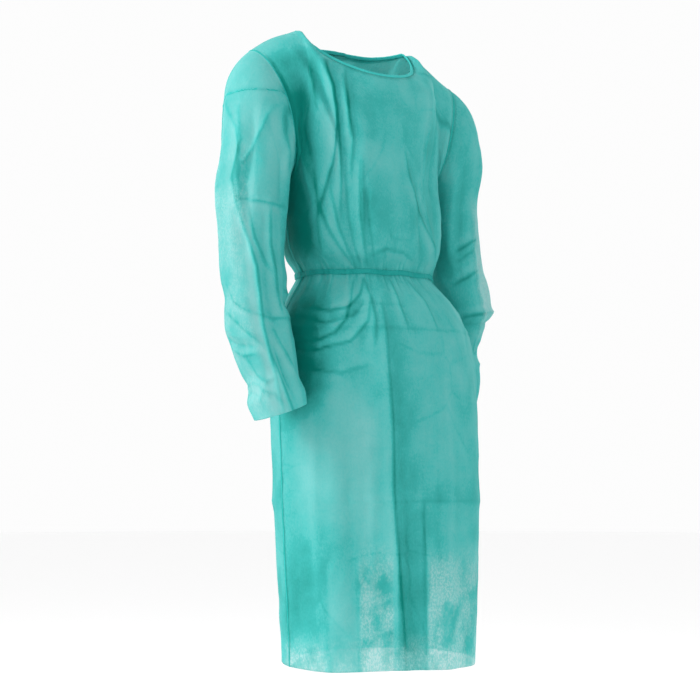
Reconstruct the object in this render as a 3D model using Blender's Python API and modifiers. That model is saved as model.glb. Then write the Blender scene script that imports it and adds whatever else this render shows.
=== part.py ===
"""Isolation gown of thin nonwoven cloth, in the form it takes when it is worn.

Metres, +Z up. The gown's front faces -Y and its left side is at +X.
The origin lies midway between the two places where the shoulder seams meet the neck.
"""
import math
from collections import namedtuple

import bmesh
import bpy
from mathutils import Vector

# Driving dimensions
CLOTH = 0.0015            # wall of the nonwoven cloth, as a stiff shell
SEAM_GAP = 0.0004         # between two pieces that are sewn together
SHOULDER_GAP = 0.0009     # between the front and a back at the shoulder, where the walls lean in
SLEEVE_GAP = 0.0005       # between the body and a sleeve at the armhole
LAP_STEP = 0.0042         # how far the under flap sinks below the upper one
BINDING_WIDTH = 0.006
BINDING_WALL = 0.0022
TIE_WIDTH = 0.009
TIE_WALL = 0.0012
TIE_CLEARANCE = 0.0004    # from the cloth's outer face to a tie that lies on it
BACK_TIE_CLEARANCE = 0.0011

NECK_FRONT_REACH = 0.110
NECK_BACK_REACH = 0.078
NECK_FRONT_Z = -0.075
NECK_BACK_Z = 0.000
NECK_LOW_POINT_X = 0.004
SHOULDER_TIP_X = 0.205
ARMPIT_Z = -0.265
ARMHOLE_DEPTH = 0.068     # how far the armhole bows forwards and back
ARMHOLE_HOLLOW = 0.010    # how far its middle is drawn in
BELT_Z = -0.436

RIGHT, LEFT = -1, 1
FRONT, BACK = -1, 1
SIDE_NAME = {RIGHT: "right", LEFT: "left"}

NECK_HALF_WIDTH = {RIGHT: 0.117, LEFT: 0.106}
NECK_SIDE_Z = {RIGHT: 0.012, LEFT: -0.008}
SHOULDER_TIP_Z = {RIGHT: -0.042, LEFT: -0.058}

# The body from hem to armpit: centre, half width, depth to the front and back, back hem's lift
Section = namedtuple("Section", "z x y half_width front back lift")
BODY = [
    Section(-1.140, 0.031, -0.045, 0.185, 0.140, 0.135, 0.016),
    Section(-1.000, 0.031, -0.044, 0.191, 0.146, 0.140, 0.008),
    Section(-0.860, 0.030, -0.042, 0.197, 0.151, 0.146, 0.003),
    Section(-0.716, 0.029, -0.038, 0.200, 0.153, 0.150, 0.000),
    Section(-0.610, 0.026, -0.034, 0.197, 0.150, 0.146, 0.000),
    Section(-0.541, 0.022, -0.029, 0.188, 0.145, 0.136, 0.000),
    Section(-0.490, 0.020, -0.022, 0.164, 0.128, 0.115, 0.000),
    Section(-0.446, 0.018, -0.016, 0.134, 0.100, 0.100, 0.000),
    Section(-0.426, 0.016, -0.015, 0.134, 0.102, 0.102, 0.000),
    Section(-0.400, 0.012, -0.012, 0.147, 0.121, 0.116, 0.000),
    Section(-0.340, 0.008, -0.010, 0.152, 0.130, 0.122, 0.000),
    Section(-0.265, 0.004, -0.006, 0.152, 0.128, 0.118, 0.000),
]

# Heights of the rows of points from the hem to the tie's lower edge
SKIRT_ROWS = [-1.140, -1.050, -0.950, -0.868, -0.844, -0.820, -0.740, -0.660, -0.595, -0.553,
              -0.541, -0.529, -0.505, -0.484, -0.466, -0.452, BELT_Z - TIE_WIDTH / 2]
# From the tie's upper edge to the armpit
BLOUSE_ROWS = [BELT_Z + TIE_WIDTH / 2, -0.422, -0.410, -0.390, -0.360, -0.315, ARMPIT_Z]
# Shares of the way from the armpit's height to the column's top
YOKE_ROWS = [0.12, 0.24, 0.37, 0.50, 0.63, 0.75, 0.86, 0.955, 1.0]

# How the columns of points are shared between shoulder seam and neck, in half a panel
SHOULDER_COLUMNS = 7
NECK_COLUMNS = {FRONT: 13, BACK: 11}
LAP_COLUMNS = 3
NECK_TURN = 1.25          # how soon past the shoulder seam the cloth stands up to the neck
NECK_SIDE_LEAN = 0.15
ARMHOLE_PULL = 0.38       # the share of a half panel whose columns follow the armhole's bow
ARMHOLE_PULL_POWER = 1.5
ARMHOLE_CALM = 0.08       # the share of a half panel beside the armhole where the folds die out
YOKE_RISE = 0.42          # how far a column keeps rising past the armpit, as a share of its reach
YOKE_ARRIVE = 0.40        # how early it takes its way into the shoulder seam or the neck
LAP_AT_HEM = 0.34         # past the centre back, as a share of the half back
LAP_AT_NECK = 0.14
SINK_LEAD = 5.0           # columns before the upper flap's edge where the under flap starts to sink
SINK_RUN = 4.0            # columns over which it sinks

# Soft folds of the body. A bearing is in degrees from the centre front, + to the left side
Fold = namedtuple("Fold", "top_bearing top_z low_bearing low_z height width")
BODY_FOLDS = [
    Fold(-18, -0.47, -11, -1.16, 0.0060, 6.5),
    Fold(-4, -0.56, 3, -1.16, -0.0055, 6.5),
    Fold(12, -0.54, 19, -1.16, 0.0050, 7.0),
    Fold(-46, -0.50, -50, -1.16, 0.0050, 9.0),
    Fold(-32, -0.56, -31, -1.05, -0.0040, 7.5),
    Fold(34, -0.48, 41, -1.16, 0.0060, 8.0),
    Fold(58, -0.52, 62, -1.10, -0.0040, 8.0),
    Fold(-72, -0.62, -76, -1.16, -0.0040, 9.0),
    Fold(112, -0.50, 118, -1.16, 0.0050, 9.0),
    Fold(-115, -0.50, -120, -1.16, 0.0050, 9.0),
    Fold(136, -0.52, 134, -1.05, -0.0045, 9.0),
    Fold(-138, -0.54, -136, -1.16, -0.0045, 9.0),
    Fold(-62, -0.12, -54, -0.40, 0.0065, 8.0),
    Fold(-42, -0.08, -33, -0.36, -0.0060, 8.0),
    Fold(-24, -0.12, -14, -0.40, 0.0050, 8.0),
    Fold(54, -0.12, 48, -0.38, 0.0060, 8.0),
    Fold(34, -0.14, 28, -0.36, -0.0045, 8.0),
    Fold(14, -0.26, 12, -0.42, 0.0035, 7.0),
    Fold(126, -0.12, 138, -0.38, 0.0050, 9.0),
    Fold(-126, -0.12, -138, -0.38, 0.0050, 9.0),
    Fold(156, -0.20, 160, -0.42, -0.0035, 8.0),
    Fold(-152, -0.20, -158, -0.42, -0.0035, 8.0),
]
# Creases left by packing run level round the skirt
PackCrease = namedtuple("PackCrease", "z height reach")
PACK_CREASES = [PackCrease(-0.541, 0.0022, 0.010), PackCrease(-0.844, 0.0016, 0.014)]
# Gathers at the tie: one ridge at each bearing, with its height and how far it runs down
Gather = namedtuple("Gather", "bearing height down up")
GATHERS = [Gather(-172 + 13.3 * i + 3.0 * math.sin(2.1 * i), 0.0034 + 0.0012 * math.sin(1.7 * i),
                  0.075 + 0.030 * math.sin(2.9 * i), 0.045 + 0.015 * math.sin(1.3 * i))
           for i in range(27)]
GATHER_WIDTH = 3.2
TIE_PINCH = 0.022         # how near the tie the gathers are pressed down, to this share of their height
TIE_PINCH_SHARE = 0.30
SEAM_CALM = 9.0           # degrees either side of a side seam where the folds die out
FOLD_OVERRUN = 0.3        # how far a body fold runs on past its ends, as a share of its length
SLEEVE_FOLD_OVERRUN = 0.2
CALM_FROM, CALM_OVER = 0.50, 0.42    # share of the yoke where the body's folds start to die out, and over

# Sleeves below the cap, by height: distance out, place front to back, half width and half depth
Arm = namedtuple("Arm", "z out y half_width half_depth")
ARMS = {
    RIGHT: [
        Arm(-0.300, 0.216, -0.018, 0.053, 0.071),
        Arm(-0.360, 0.225, -0.030, 0.055, 0.066),
        Arm(-0.430, 0.230, -0.043, 0.055, 0.063),
        Arm(-0.490, 0.231, -0.056, 0.055, 0.062),
        Arm(-0.550, 0.229, -0.074, 0.054, 0.059),
        Arm(-0.600, 0.223, -0.091, 0.051, 0.054),
        Arm(-0.635, 0.219, -0.102, 0.045, 0.049),
        Arm(-0.662, 0.217, -0.110, 0.051, 0.052),
        Arm(-0.690, 0.211, -0.117, 0.047, 0.046),
    ],
    LEFT: [
        Arm(-0.300, 0.209, -0.004, 0.046, 0.067),
        Arm(-0.380, 0.217, -0.004, 0.047, 0.062),
        Arm(-0.440, 0.228, -0.004, 0.047, 0.059),
        Arm(-0.485, 0.243, 0.000, 0.048, 0.055),
        Arm(-0.520, 0.244, 0.010, 0.038, 0.048),
        Arm(-0.560, 0.250, 0.024, 0.037, 0.045),
        Arm(-0.600, 0.257, 0.036, 0.038, 0.044),
        Arm(-0.635, 0.261, 0.045, 0.037, 0.041),
        Arm(-0.662, 0.263, 0.051, 0.034, 0.036),
    ],
}
CAP_ROWS = [0.0, 0.05, 0.16, 0.31, 0.48, 0.66, 0.84]
CAP_HANDLE = 0.36         # how far the cap keeps its way at either end, as a share of its reach
# The way the cap leaves the armhole, as out, front or back, up: at the armpit, at the tip, and between
LEAVE_ARMPIT = Vector((0.25, 0.0, -0.97))
LEAVE_TIP = Vector((0.80, 0.0, -0.60))
LEAVE_BOW = Vector((0.20, 0.35, 0.50))
ARM_ROW_COUNT = 15
# Ridges and troughs along a sleeve, by the angle round it: 0 inner, 90 front, 180 outer
SleeveFold = namedtuple("SleeveFold", "top_angle top_row low_angle low_row height width")
SLEEVE_FOLDS = {
    RIGHT: [
        SleeveFold(166, 3, 124, 23, 0.0055, 13),
        SleeveFold(318, 3, 300, 23, 0.0045, 14),
        SleeveFold(96, 14, 100, 22, -0.0050, 12),
        SleeveFold(60, 1, 40, 11, 0.0060, 14),
        SleeveFold(30, 1, 15, 9, -0.0040, 14),
        SleeveFold(215, 2, 235, 12, -0.0040, 16),
    ],
    LEFT: [
        SleeveFold(166, 3, 140, 23, 0.0045, 14),
        SleeveFold(320, 3, 300, 23, 0.0035, 14),
        SleeveFold(60, 1, 40, 11, 0.0050, 14),
        SleeveFold(100, 4, 95, 14, -0.0040, 14),
        SleeveFold(215, 2, 235, 12, -0.0035, 16),
    ],
}
# Wrinkles across a sleeve: the angle they centre on, the row, their height and reach round it
Wrinkle = namedtuple("Wrinkle", "angle row height reach")
WRINKLE_WIDTH = 0.8       # in rows
WRINKLES = {
    RIGHT: [
        Wrinkle(200, 14, -0.0050, 55), Wrinkle(205, 16, 0.0030, 50), Wrinkle(20, 13, 0.0040, 50),
        Wrinkle(20, 15, -0.0045, 50), Wrinkle(210, 20, -0.0040, 60), Wrinkle(120, 11, -0.0020, 60),
    ],
    LEFT: [
        Wrinkle(180, 13, 0.0060, 40), Wrinkle(190, 15, -0.0040, 50), Wrinkle(20, 12, 0.0030, 50),
        Wrinkle(160, 17, 0.0030, 50), Wrinkle(200, 19, -0.0030, 60), Wrinkle(10, 15, -0.0030, 50),
    ],
}

KNOT_RADII = {"neck": Vector((0.0085, 0.0050, 0.0065)), "waist": Vector((0.0110, 0.0065, 0.0085))}
KNOT_CLEARANCE = {"neck": 0.0005, "waist": 0.0010}    # from the face that it lies on
KNOT_SEGMENTS, KNOT_RINGS = 16, 10
KNOT_PINCH = 0.18
KNOT_PINCH_WIDTH = 0.35
KNOT_FOOT = {"neck": 0.70, "waist": 0.86}    # share of its half height where the free ends leave a knot
WAIST_KNOT_SHARE = 0.62   # the tie stops this share of a column before the centre back
NECK_TAIL_LENGTH = {RIGHT: 0.150, LEFT: 0.125}
WAIST_TAIL_LENGTH = {RIGHT: 0.285, LEFT: 0.245}
TAIL_STEPS = 16
TAIL_SAMPLES = 60
TAIL_DRIFT = {"neck": 0.45, "waist": 0.6}
TAIL_CLEARANCE = 0.0034   # to the free end's outer face, where it lies against the back
TAIL_FALL = 0.040         # the length over which it falls from the knot to the back
BINDING_START = 0.006     # the bindings meet this share past the shoulder seam
BINDING_STEPS = 12

CLOTH_COLOUR = (0.105, 0.560, 0.490, 1.0)
TRIM_COLOUR = (0.040, 0.370, 0.330, 1.0)


def clamp(value, low=0.0, high=1.0):
    return max(low, min(high, value))


def ease(value):
    """0 to 1 with level ends."""
    t = clamp(value)
    return t * t * (3 - 2 * t)


def bump(distance, width):
    """A soft ridge, 1 at its crest and under 0.02 at twice its width."""
    return math.exp(-(distance / width) ** 2)


def mix(a, b, share):
    return a + (b - a) * share


def table_row(table, key, value):
    """The table's row at a value of its key column, on a smooth curve through its rows."""
    rows = sorted(table, key=lambda row: getattr(row, key))
    keys = [getattr(row, key) for row in rows]
    place = clamp(value, keys[0], keys[-1])
    i = max(j for j in range(len(keys) - 1) if keys[j] <= place)
    span = keys[i + 1] - keys[i]
    t = (place - keys[i]) / span

    def slope(j, name):
        low, high = max(j - 1, 0), min(j + 1, len(rows) - 1)
        return (getattr(rows[high], name) - getattr(rows[low], name)) / (keys[high] - keys[low])

    found = {}
    for name in rows[0]._fields:
        p, q = getattr(rows[i], name), getattr(rows[i + 1], name)
        m, n = slope(i, name) * span, slope(i + 1, name) * span
        found[name] = ((2 * t ** 3 - 3 * t ** 2 + 1) * p + (t ** 3 - 2 * t ** 2 + t) * m
                       + (3 * t ** 2 - 2 * t ** 3) * q + (t ** 3 - t ** 2) * n)
    found[key] = place
    return type(rows[0])(**found)


def bezier(p0, p1, p2, p3, t):
    s = 1 - t
    return p0 * s ** 3 + p1 * (3 * s * s * t) + p2 * (3 * s * t * t) + p3 * t ** 3


# Body surface

def ring_point(z, bearing):
    """A point of the body below the armpit, before its folds."""
    row = table_row(BODY, "z", z)
    angle = math.radians(bearing)
    depth = row.front if math.cos(angle) > 0 else row.back
    lift = row.lift * (1 - math.cos(angle)) / 2
    return Vector((row.x + row.half_width * math.sin(angle), row.y - depth * math.cos(angle),
                   z + lift))


def armhole_point(side, face, share):
    """The armhole from the armpit, at 0, to the shoulder tip, at 1."""
    armpit = ring_point(ARMPIT_Z, 90 * side)
    tip = Vector((side * SHOULDER_TIP_X, 0.0, SHOULDER_TIP_Z[side]))
    rise = (1 - math.cos(math.pi * share)) / 2
    bow = math.sin(math.pi * share)
    return Vector((mix(armpit.x, tip.x, rise) - side * ARMHOLE_HOLLOW * bow,
                   mix(armpit.y, tip.y, share) + face * ARMHOLE_DEPTH * bow,
                   mix(armpit.z, tip.z, rise)))


def neck_edge(side, face, share):
    """The finished neck edge from the shoulder seam, at 0, to the centre, at 1 and past it."""
    angle = math.radians(90 * share)
    reach = NECK_FRONT_REACH if face == FRONT else NECK_BACK_REACH
    low = NECK_FRONT_Z if face == FRONT else NECK_BACK_Z
    far_side = side if share <= 1 else -side
    x = NECK_LOW_POINT_X * math.sin(angle)
    x += side * NECK_HALF_WIDTH[far_side] * math.cos(angle)
    return Vector((x, face * reach * math.sin(angle),
                   mix(NECK_SIDE_Z[far_side], low, math.sin(angle))))


def neck_inward(side, face, share):
    """The way the cloth runs as it meets the neck edge."""
    angle = math.radians(90 * share)
    slope = 0.55 if face == FRONT else 0.40
    return Vector((-side * 0.75 * math.cos(angle), -face * slope * math.sin(angle), 0.80)).normalized()


Column = namedtuple("Column", "bearing top arrive share")


def panel_columns(side, face):
    """Columns of half a panel from the side seam and armhole to the centre."""
    total = SHOULDER_COLUMNS + NECK_COLUMNS[face]

    def bearing(index):
        turn = 90 * index / total
        return side * (90 - turn if face == FRONT else 90 + turn)

    tip = armhole_point(side, face, 1.0)
    seam_end = neck_edge(side, face, 0.0) - neck_inward(side, face, 0.0) * BINDING_WIDTH
    level = Vector((0, -face, 0.05)).normalized()
    columns = []
    for i in range(SHOULDER_COLUMNS):
        top = tip.lerp(seam_end, i / SHOULDER_COLUMNS)
        columns.append(Column(bearing(i), top, level, i / total))
    for i in range(NECK_COLUMNS[face] + 1):
        index = SHOULDER_COLUMNS + i
        columns.append(neck_column(side, face, i / NECK_COLUMNS[face], bearing(index), index / total))
    return columns


def neck_column(side, face, share, bearing, place=1.0):
    """A column that ends at the neck: level at the shoulder seam, and rising at the centre."""
    turn = ease(NECK_TURN * min(share, 2 - share))
    lean = -side * NECK_SIDE_LEAN * math.cos(math.radians(90 * share))
    way = Vector((lean, -face * mix(1.0, 0.5, turn), mix(0.05, 0.9, turn))).normalized()
    top = neck_edge(side, face, share) - neck_inward(side, face, share) * BINDING_WIDTH
    return Column(bearing, top, way, place)


def yoke_path(column, samples=40):
    """Points of a column from the armpit's height up to its top."""
    start = ring_point(ARMPIT_Z, column.bearing)
    reach = (column.top - start).length
    rise = Vector((0, 0, YOKE_RISE * reach))
    back_off = column.arrive * (YOKE_ARRIVE * reach)
    return [bezier(start, start + rise, column.top - back_off, column.top, i / samples)
            for i in range(samples + 1)]


def along(points, share):
    """The point at a share of a polyline's length."""
    lengths = [0.0]
    for a, b in zip(points, points[1:]):
        lengths.append(lengths[-1] + (b - a).length)
    goal = share * lengths[-1]
    for i in range(len(points) - 1):
        if goal <= lengths[i + 1] or i == len(points) - 2:
            step = lengths[i + 1] - lengths[i]
            return points[i].lerp(points[i + 1], clamp((goal - lengths[i]) / step) if step else 0.0)
    return points[-1]


def turn_between(a, b):
    """The smaller turn between two bearings, in degrees."""
    return (a - b + 180) % 360 - 180


def fold_fade(down, overrun):
    """A fold's strength at a share of the way down it, with soft ends past 0 and 1."""
    return ease((down + overrun) / (2 * overrun)) * ease((1 + overrun - down) / (2 * overrun))


def fold_height(bearing, z, top_share):
    """How far the body's folds push a point outwards."""
    height = 0.0
    for fold in BODY_FOLDS:
        down = (fold.top_z - z) / (fold.top_z - fold.low_z)
        crest = mix(fold.top_bearing, fold.low_bearing, down)
        spread = bump(turn_between(bearing, crest), fold.width)
        height += fold.height * fold_fade(down, FOLD_OVERRUN) * spread
    for crease in PACK_CREASES:
        height += crease.height * bump(z - crease.z, crease.reach)
    below = BELT_Z - z
    for gather in GATHERS:
        run = gather.down if below > 0 else gather.up
        fade = mix(TIE_PINCH_SHARE, 1.0, ease(abs(below) / TIE_PINCH)) * (1 - ease(abs(below) / run))
        height += gather.height * fade * bump(turn_between(bearing, gather.bearing), GATHER_WIDTH)
    from_seam = abs(abs(bearing) - 90)
    return height * ease(from_seam / SEAM_CALM) * (1 - ease((top_share - CALM_FROM) / CALM_OVER))


def push_way(bearing, top_share, arrive):
    """The way a fold stands out: level below, and up where the cloth turns over the shoulder."""
    angle = math.radians(bearing)
    level = Vector((math.sin(angle), -math.cos(angle), 0))
    share = 0.7 * ease((top_share - 0.30) / 0.6) * (1 - abs(arrive.z))
    return (level * (1 - share) + Vector((0, 0, share))).normalized()


def column_points(side, face, column, lap=None):
    """All points of one column, folds included, from the hem to its top."""
    points = []
    for z in SKIRT_ROWS + BLOUSE_ROWS:
        bearing = column.bearing if lap is None else lap(z)
        place = ring_point(z, bearing)
        points.append(place + push_way(bearing, 0.0, column.arrive) * fold_height(bearing, z, 0.0))
    path = yoke_path(column)
    edge_path = yoke_path(panel_columns(side, face)[0])
    pull = (1 - ease(column.share / ARMHOLE_PULL)) ** ARMHOLE_PULL_POWER
    calm = ease(column.share / ARMHOLE_CALM)
    for share in YOKE_ROWS:
        place = along(path, share)
        place += (armhole_point(side, face, share) - along(edge_path, share)) * pull
        way = push_way(column.bearing, share, column.arrive)
        points.append(place + way * fold_height(column.bearing, place.z, share) * calm)
    return points


def to_axis(point):
    row = table_row(BODY, "z", point.z)
    return Vector((row.x - point.x, row.y - point.y, 0)).normalized()


def front_grid():
    """The front panel's columns, from the right side seam to the left one."""
    halves = [[column_points(side, FRONT, column) for column in panel_columns(side, FRONT)]
              for side in (RIGHT, LEFT)]
    return open_seams(halves[0] + halves[1][-2::-1], FRONT, both_sides=True)


def lap_share(z):
    return mix(LAP_AT_HEM, LAP_AT_NECK, ease((z - SKIRT_ROWS[0]) / (BELT_Z - SKIRT_ROWS[0])))


def sink_depth(index, lap_columns):
    """How far the under flap lies below the upper one, whose edge is so many columns past the centre."""
    start = SHOULDER_COLUMNS + NECK_COLUMNS[BACK] - lap_columns - SINK_LEAD
    return LAP_STEP * ease((index - start) / SINK_RUN)


def back_grid(side, under=False):
    """A back panel's columns, from its side seam past the centre back."""
    grid = [column_points(side, BACK, column) for column in panel_columns(side, BACK)]
    for i in range(1, LAP_COLUMNS + 1):
        step = i / LAP_COLUMNS

        def lap(z, step=step):
            return side * (180 + 90 * lap_share(z) * step)

        column = neck_column(side, BACK, 1 + LAP_AT_NECK * step, lap(ARMPIT_Z))
        grid.append(column_points(side, BACK, column, lap=lap))
    if under:
        total = SHOULDER_COLUMNS + NECK_COLUMNS[BACK]
        laps = [total * lap_share(z) for z in SKIRT_ROWS + BLOUSE_ROWS]
        laps += [NECK_COLUMNS[BACK] * LAP_AT_NECK] * len(YOKE_ROWS)
        for i, column in enumerate(grid):
            grid[i] = [p + to_axis(p) * sink_depth(i, lap) for p, lap in zip(column, laps)]
    return open_seams(grid, BACK, both_sides=False)


def open_seams(grid, face, both_sides):
    """Draws the side seams and the shoulder seams back by half a seam gap."""
    side_rows = len(SKIRT_ROWS) + len(BLOUSE_ROWS)
    half = Vector((0, face * SEAM_GAP / 2, 0))
    shoulder_half = Vector((0, face * SHOULDER_GAP / 2, 0))
    edges = (grid[0], grid[-1]) if both_sides else (grid[0],)
    for column in edges:
        for j in range(side_rows):
            column[j] = column[j] + half
    seams = list(range(SHOULDER_COLUMNS + 1))
    if both_sides:
        seams += [len(grid) - 1 - i for i in seams]
    for i in seams:
        grid[i][-1] = grid[i][-1] + shoulder_half
    return grid


# Sleeve surface

def arm_frame(side, z):
    """Centre, outward and forward ways, and half sizes of a sleeve's ring."""
    table = ARMS[side]
    row = table_row(table, "z", z)
    step = 0.01
    low = table_row(table, "z", max(z - step, table[-1].z))
    high = table_row(table, "z", min(z + step, table[0].z))
    centre = Vector((side * row.out, row.y, z))
    run = Vector((side * (low.out - high.out), low.y - high.y, low.z - high.z)).normalized()
    out = Vector((side, 0, 0))
    out = (out - run * out.dot(run)).normalized()
    forward = run.cross(out) * (-side)
    if forward.y > 0:
        forward = -forward
    return centre, run, out, forward, row


def sleeve_fold_height(side, angle, row):
    """How far a sleeve's folds and wrinkles push a point outwards."""
    height = 0.0
    for fold in SLEEVE_FOLDS[side]:
        down = (row - fold.top_row) / (fold.low_row - fold.top_row)
        crest = mix(fold.top_angle, fold.low_angle, down)
        spread = bump(turn_between(angle, crest), fold.width)
        height += fold.height * fold_fade(down, SLEEVE_FOLD_OVERRUN) * spread
    for wrinkle in WRINKLES[side]:
        reach = bump(turn_between(angle, wrinkle.angle), wrinkle.reach)
        height += wrinkle.height * reach * bump(row - wrinkle.row, WRINKLE_WIDTH)
    return height * ease(row / 3)


def sleeve_grid(side):
    """The sleeve's columns, once round from the armpit by the front."""
    rim = [(FRONT, share) for share in [0.0] + YOKE_ROWS]
    rim += [(BACK, share) for share in YOKE_ROWS[-2::-1]]
    table = ARMS[side]
    top_z, low_z = table[0].z, table[-1].z
    arm_heights = [mix(top_z, low_z, i / ARM_ROW_COUNT) for i in range(ARM_ROW_COUNT + 1)]
    grid = []
    for face, share in rim:
        angle = 180 * share if face == FRONT else 360 - 180 * share
        turn = math.radians(angle)
        start = armhole_point(side, face, share) + Vector((side * SLEEVE_GAP, 0, 0))
        bow = math.sin(math.pi * share)
        leave = LEAVE_ARMPIT.lerp(LEAVE_TIP, ease(share)) + LEAVE_BOW * bow
        leave = Vector((side * leave.x, face * leave.y, leave.z)).normalized()
        centre, run, out, forward, row = arm_frame(side, top_z)
        way = -out * math.cos(turn) + forward * math.sin(turn)
        end = centre - out * (row.half_width * math.cos(turn)) + forward * (row.half_depth * math.sin(turn))
        reach = (end - start).length
        column = []
        for j, step in enumerate(CAP_ROWS):
            handle = CAP_HANDLE * reach
            place = bezier(start, start + leave * handle, end - run * handle, end, step)
            column.append(place + way * sleeve_fold_height(side, angle, j))
        for j, z in enumerate(arm_heights):
            centre, run, out, forward, row = arm_frame(side, z)
            way = -out * math.cos(turn) + forward * math.sin(turn)
            place = centre - out * (row.half_width * math.cos(turn))
            place += forward * (row.half_depth * math.sin(turn))
            column.append(place + way * sleeve_fold_height(side, angle, len(CAP_ROWS) + j))
        grid.append(column)
    return grid


# Objects

def make_material(name, colour, roughness):
    material = bpy.data.materials.new(name)
    material.use_nodes = True
    shader = material.node_tree.nodes["Principled BSDF"]
    shader.inputs["Base Color"].default_value = colour
    shader.inputs["Roughness"].default_value = roughness
    shader.inputs["Metallic"].default_value = 0.0
    material.diffuse_color = colour
    return material


def add_object(name, mesh, collection, colour, roughness=0.75):
    thing = bpy.data.objects.new(name, mesh)
    thing.data.materials.append(make_material(name, colour, roughness))
    collection.objects.link(thing)
    return thing


def cloth_from_grid(name, grid, collection, outward, closed=False, wall=CLOTH, colour=CLOTH_COLOUR):
    """An open sheet through a grid of columns, given its wall on the inner side."""
    mesh_data = bmesh.new()
    verts = [[mesh_data.verts.new(p) for p in column] for column in grid]
    pairs = list(zip(verts, verts[1:]))
    if closed:
        pairs.append((verts[-1], verts[0]))
    for left, right in pairs:
        for j in range(len(left) - 1):
            mesh_data.faces.new((left[j], right[j], right[j + 1], left[j + 1]))
    mesh_data.normal_update()
    trial = max(mesh_data.faces, key=lambda face: abs(face.normal.dot(outward(face.calc_center_median()))))
    if trial.normal.dot(outward(trial.calc_center_median())) < 0:
        bmesh.ops.reverse_faces(mesh_data, faces=mesh_data.faces)
    mesh = bpy.data.meshes.new(name)
    mesh_data.to_mesh(mesh)
    mesh_data.free()
    mesh.shade_smooth()
    thing = add_object(name, mesh, collection, colour)
    shell = thing.modifiers.new("Wall", "SOLIDIFY")
    shell.thickness = wall
    shell.offset = -1
    return thing


def away_from_axis(point):
    return -to_axis(point)


def grid_point(grid, column, row):
    """A point on a grid at fractional column and row numbers."""
    i = min(int(column), len(grid) - 2)
    j = min(int(row), len(grid[0]) - 2)
    low = grid[i][j].lerp(grid[i + 1][j], column - i)
    high = grid[i][j + 1].lerp(grid[i + 1][j + 1], column - i)
    return low.lerp(high, row - j)


def waist_tie(name, grid, clearance, collection):
    """A stretch of the waist tie over a panel, from the panel's own points moved out."""
    low_index = len(SKIRT_ROWS) - 1
    columns = []
    for column in grid:
        low, high = column[low_index], column[low_index + 1]
        proud = away_from_axis(low) * (clearance + TIE_WALL)
        columns.append([low + proud, high + proud])
    return cloth_from_grid(name, columns, collection, away_from_axis, wall=TIE_WALL, colour=TRIM_COLOUR)


def back_tie_columns(grid, half_columns):
    """The back's columns that its waist tie passes over, with a last one beside the knot."""
    last = half_columns - WAIST_KNOT_SHARE
    rows = range(len(grid[0]))
    return grid[:half_columns] + [[grid_point(grid, last, j) for j in rows]]


def neck_binding(name, stations, collection, sunk=False):
    """A stretch of the neck binding through (side, face, share) stations."""
    columns = []
    for side, face, share in stations:
        edge = neck_edge(side, face, share)
        if sunk:
            index = SHOULDER_COLUMNS + NECK_COLUMNS[BACK] * share
            edge += to_axis(edge) * sink_depth(index, NECK_COLUMNS[BACK] * LAP_AT_NECK)
        inward = neck_inward(side, face, share)
        rim = edge - inward * (BINDING_WIDTH - SEAM_GAP)
        columns.append([rim, rim.lerp(edge, 0.5), edge])
    return cloth_from_grid(name, columns, collection, away_from_axis, wall=BINDING_WALL,
                           colour=TRIM_COLOUR)


def tail(name, grid, drift, length, top, knot_out, collection):
    """A tie's free end that leaves its knot, falls to the back and hangs down on the upper flap."""
    column, row, side_step = top
    samples = []
    for i in range(TAIL_SAMPLES + 1):
        share = i / TAIL_SAMPLES
        samples.append(grid_point(grid, column + drift * share, row * (1 - share)))
    total = sum((b - a).length for a, b in zip(samples, samples[1:]))
    rails = [[], []]
    for i in range(TAIL_STEPS + 1):
        run = length * (i / TAIL_STEPS) ** 1.3
        place = along(samples, run / total)
        proud = mix(knot_out + TIE_WALL / 2, TAIL_CLEARANCE, ease(run / TAIL_FALL))
        place += away_from_axis(place) * proud
        for rail, way in zip(rails, (-1, 1)):
            rail.append(place + Vector((way * TIE_WIDTH / 2 + side_step, 0, 0)))
    return cloth_from_grid(name, rails, collection, away_from_axis, wall=TIE_WALL, colour=TRIM_COLOUR)


def knot(name, place, radii, collection):
    """A small tied knot: a rounded lump with a cinched waist."""
    mesh_data = bmesh.new()
    bmesh.ops.create_uvsphere(mesh_data, u_segments=KNOT_SEGMENTS, v_segments=KNOT_RINGS, radius=1.0)
    for vert in mesh_data.verts:
        pinch = 1 - KNOT_PINCH * bump(vert.co.x, KNOT_PINCH_WIDTH)
        vert.co = Vector((vert.co.x * radii.x, vert.co.y * radii.y * pinch, vert.co.z * radii.z * pinch))
        vert.co += place
    mesh = bpy.data.meshes.new(name)
    mesh_data.to_mesh(mesh)
    mesh_data.free()
    mesh.shade_smooth()
    return add_object(name, mesh, collection, TRIM_COLOUR)


def row_below(grid, column, top, drop):
    """The fractional row of a column that lies a drop lower than a height."""
    rows = [grid_point(grid, column, j).z for j in range(len(grid[0]))]
    goal = top - drop
    j = max(k for k in range(len(rows) - 1) if rows[k] <= goal)
    return j + (goal - rows[j]) / (rows[j + 1] - rows[j])


def tied_pair(name, grid, top_place, collection, lengths):
    """A knot at the centre back with its two free ends."""
    radii = KNOT_RADII[name]
    knot_out = KNOT_CLEARANCE[name] + radii.y
    knot(name + "_knot", top_place + away_from_axis(top_place) * knot_out, radii, collection)
    centre = len(grid) - 1 - LAP_COLUMNS
    row = row_below(grid, centre, top_place.z, KNOT_FOOT[name] * radii.z + SEAM_GAP)
    for side in (LEFT, RIGHT):
        side_step = side * (TIE_WIDTH + SEAM_GAP) / 2
        tail(name + "_tie_end_" + SIDE_NAME[side], grid, -side * TAIL_DRIFT[name], lengths[side],
             (centre, row, side_step), knot_out, collection)


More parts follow.
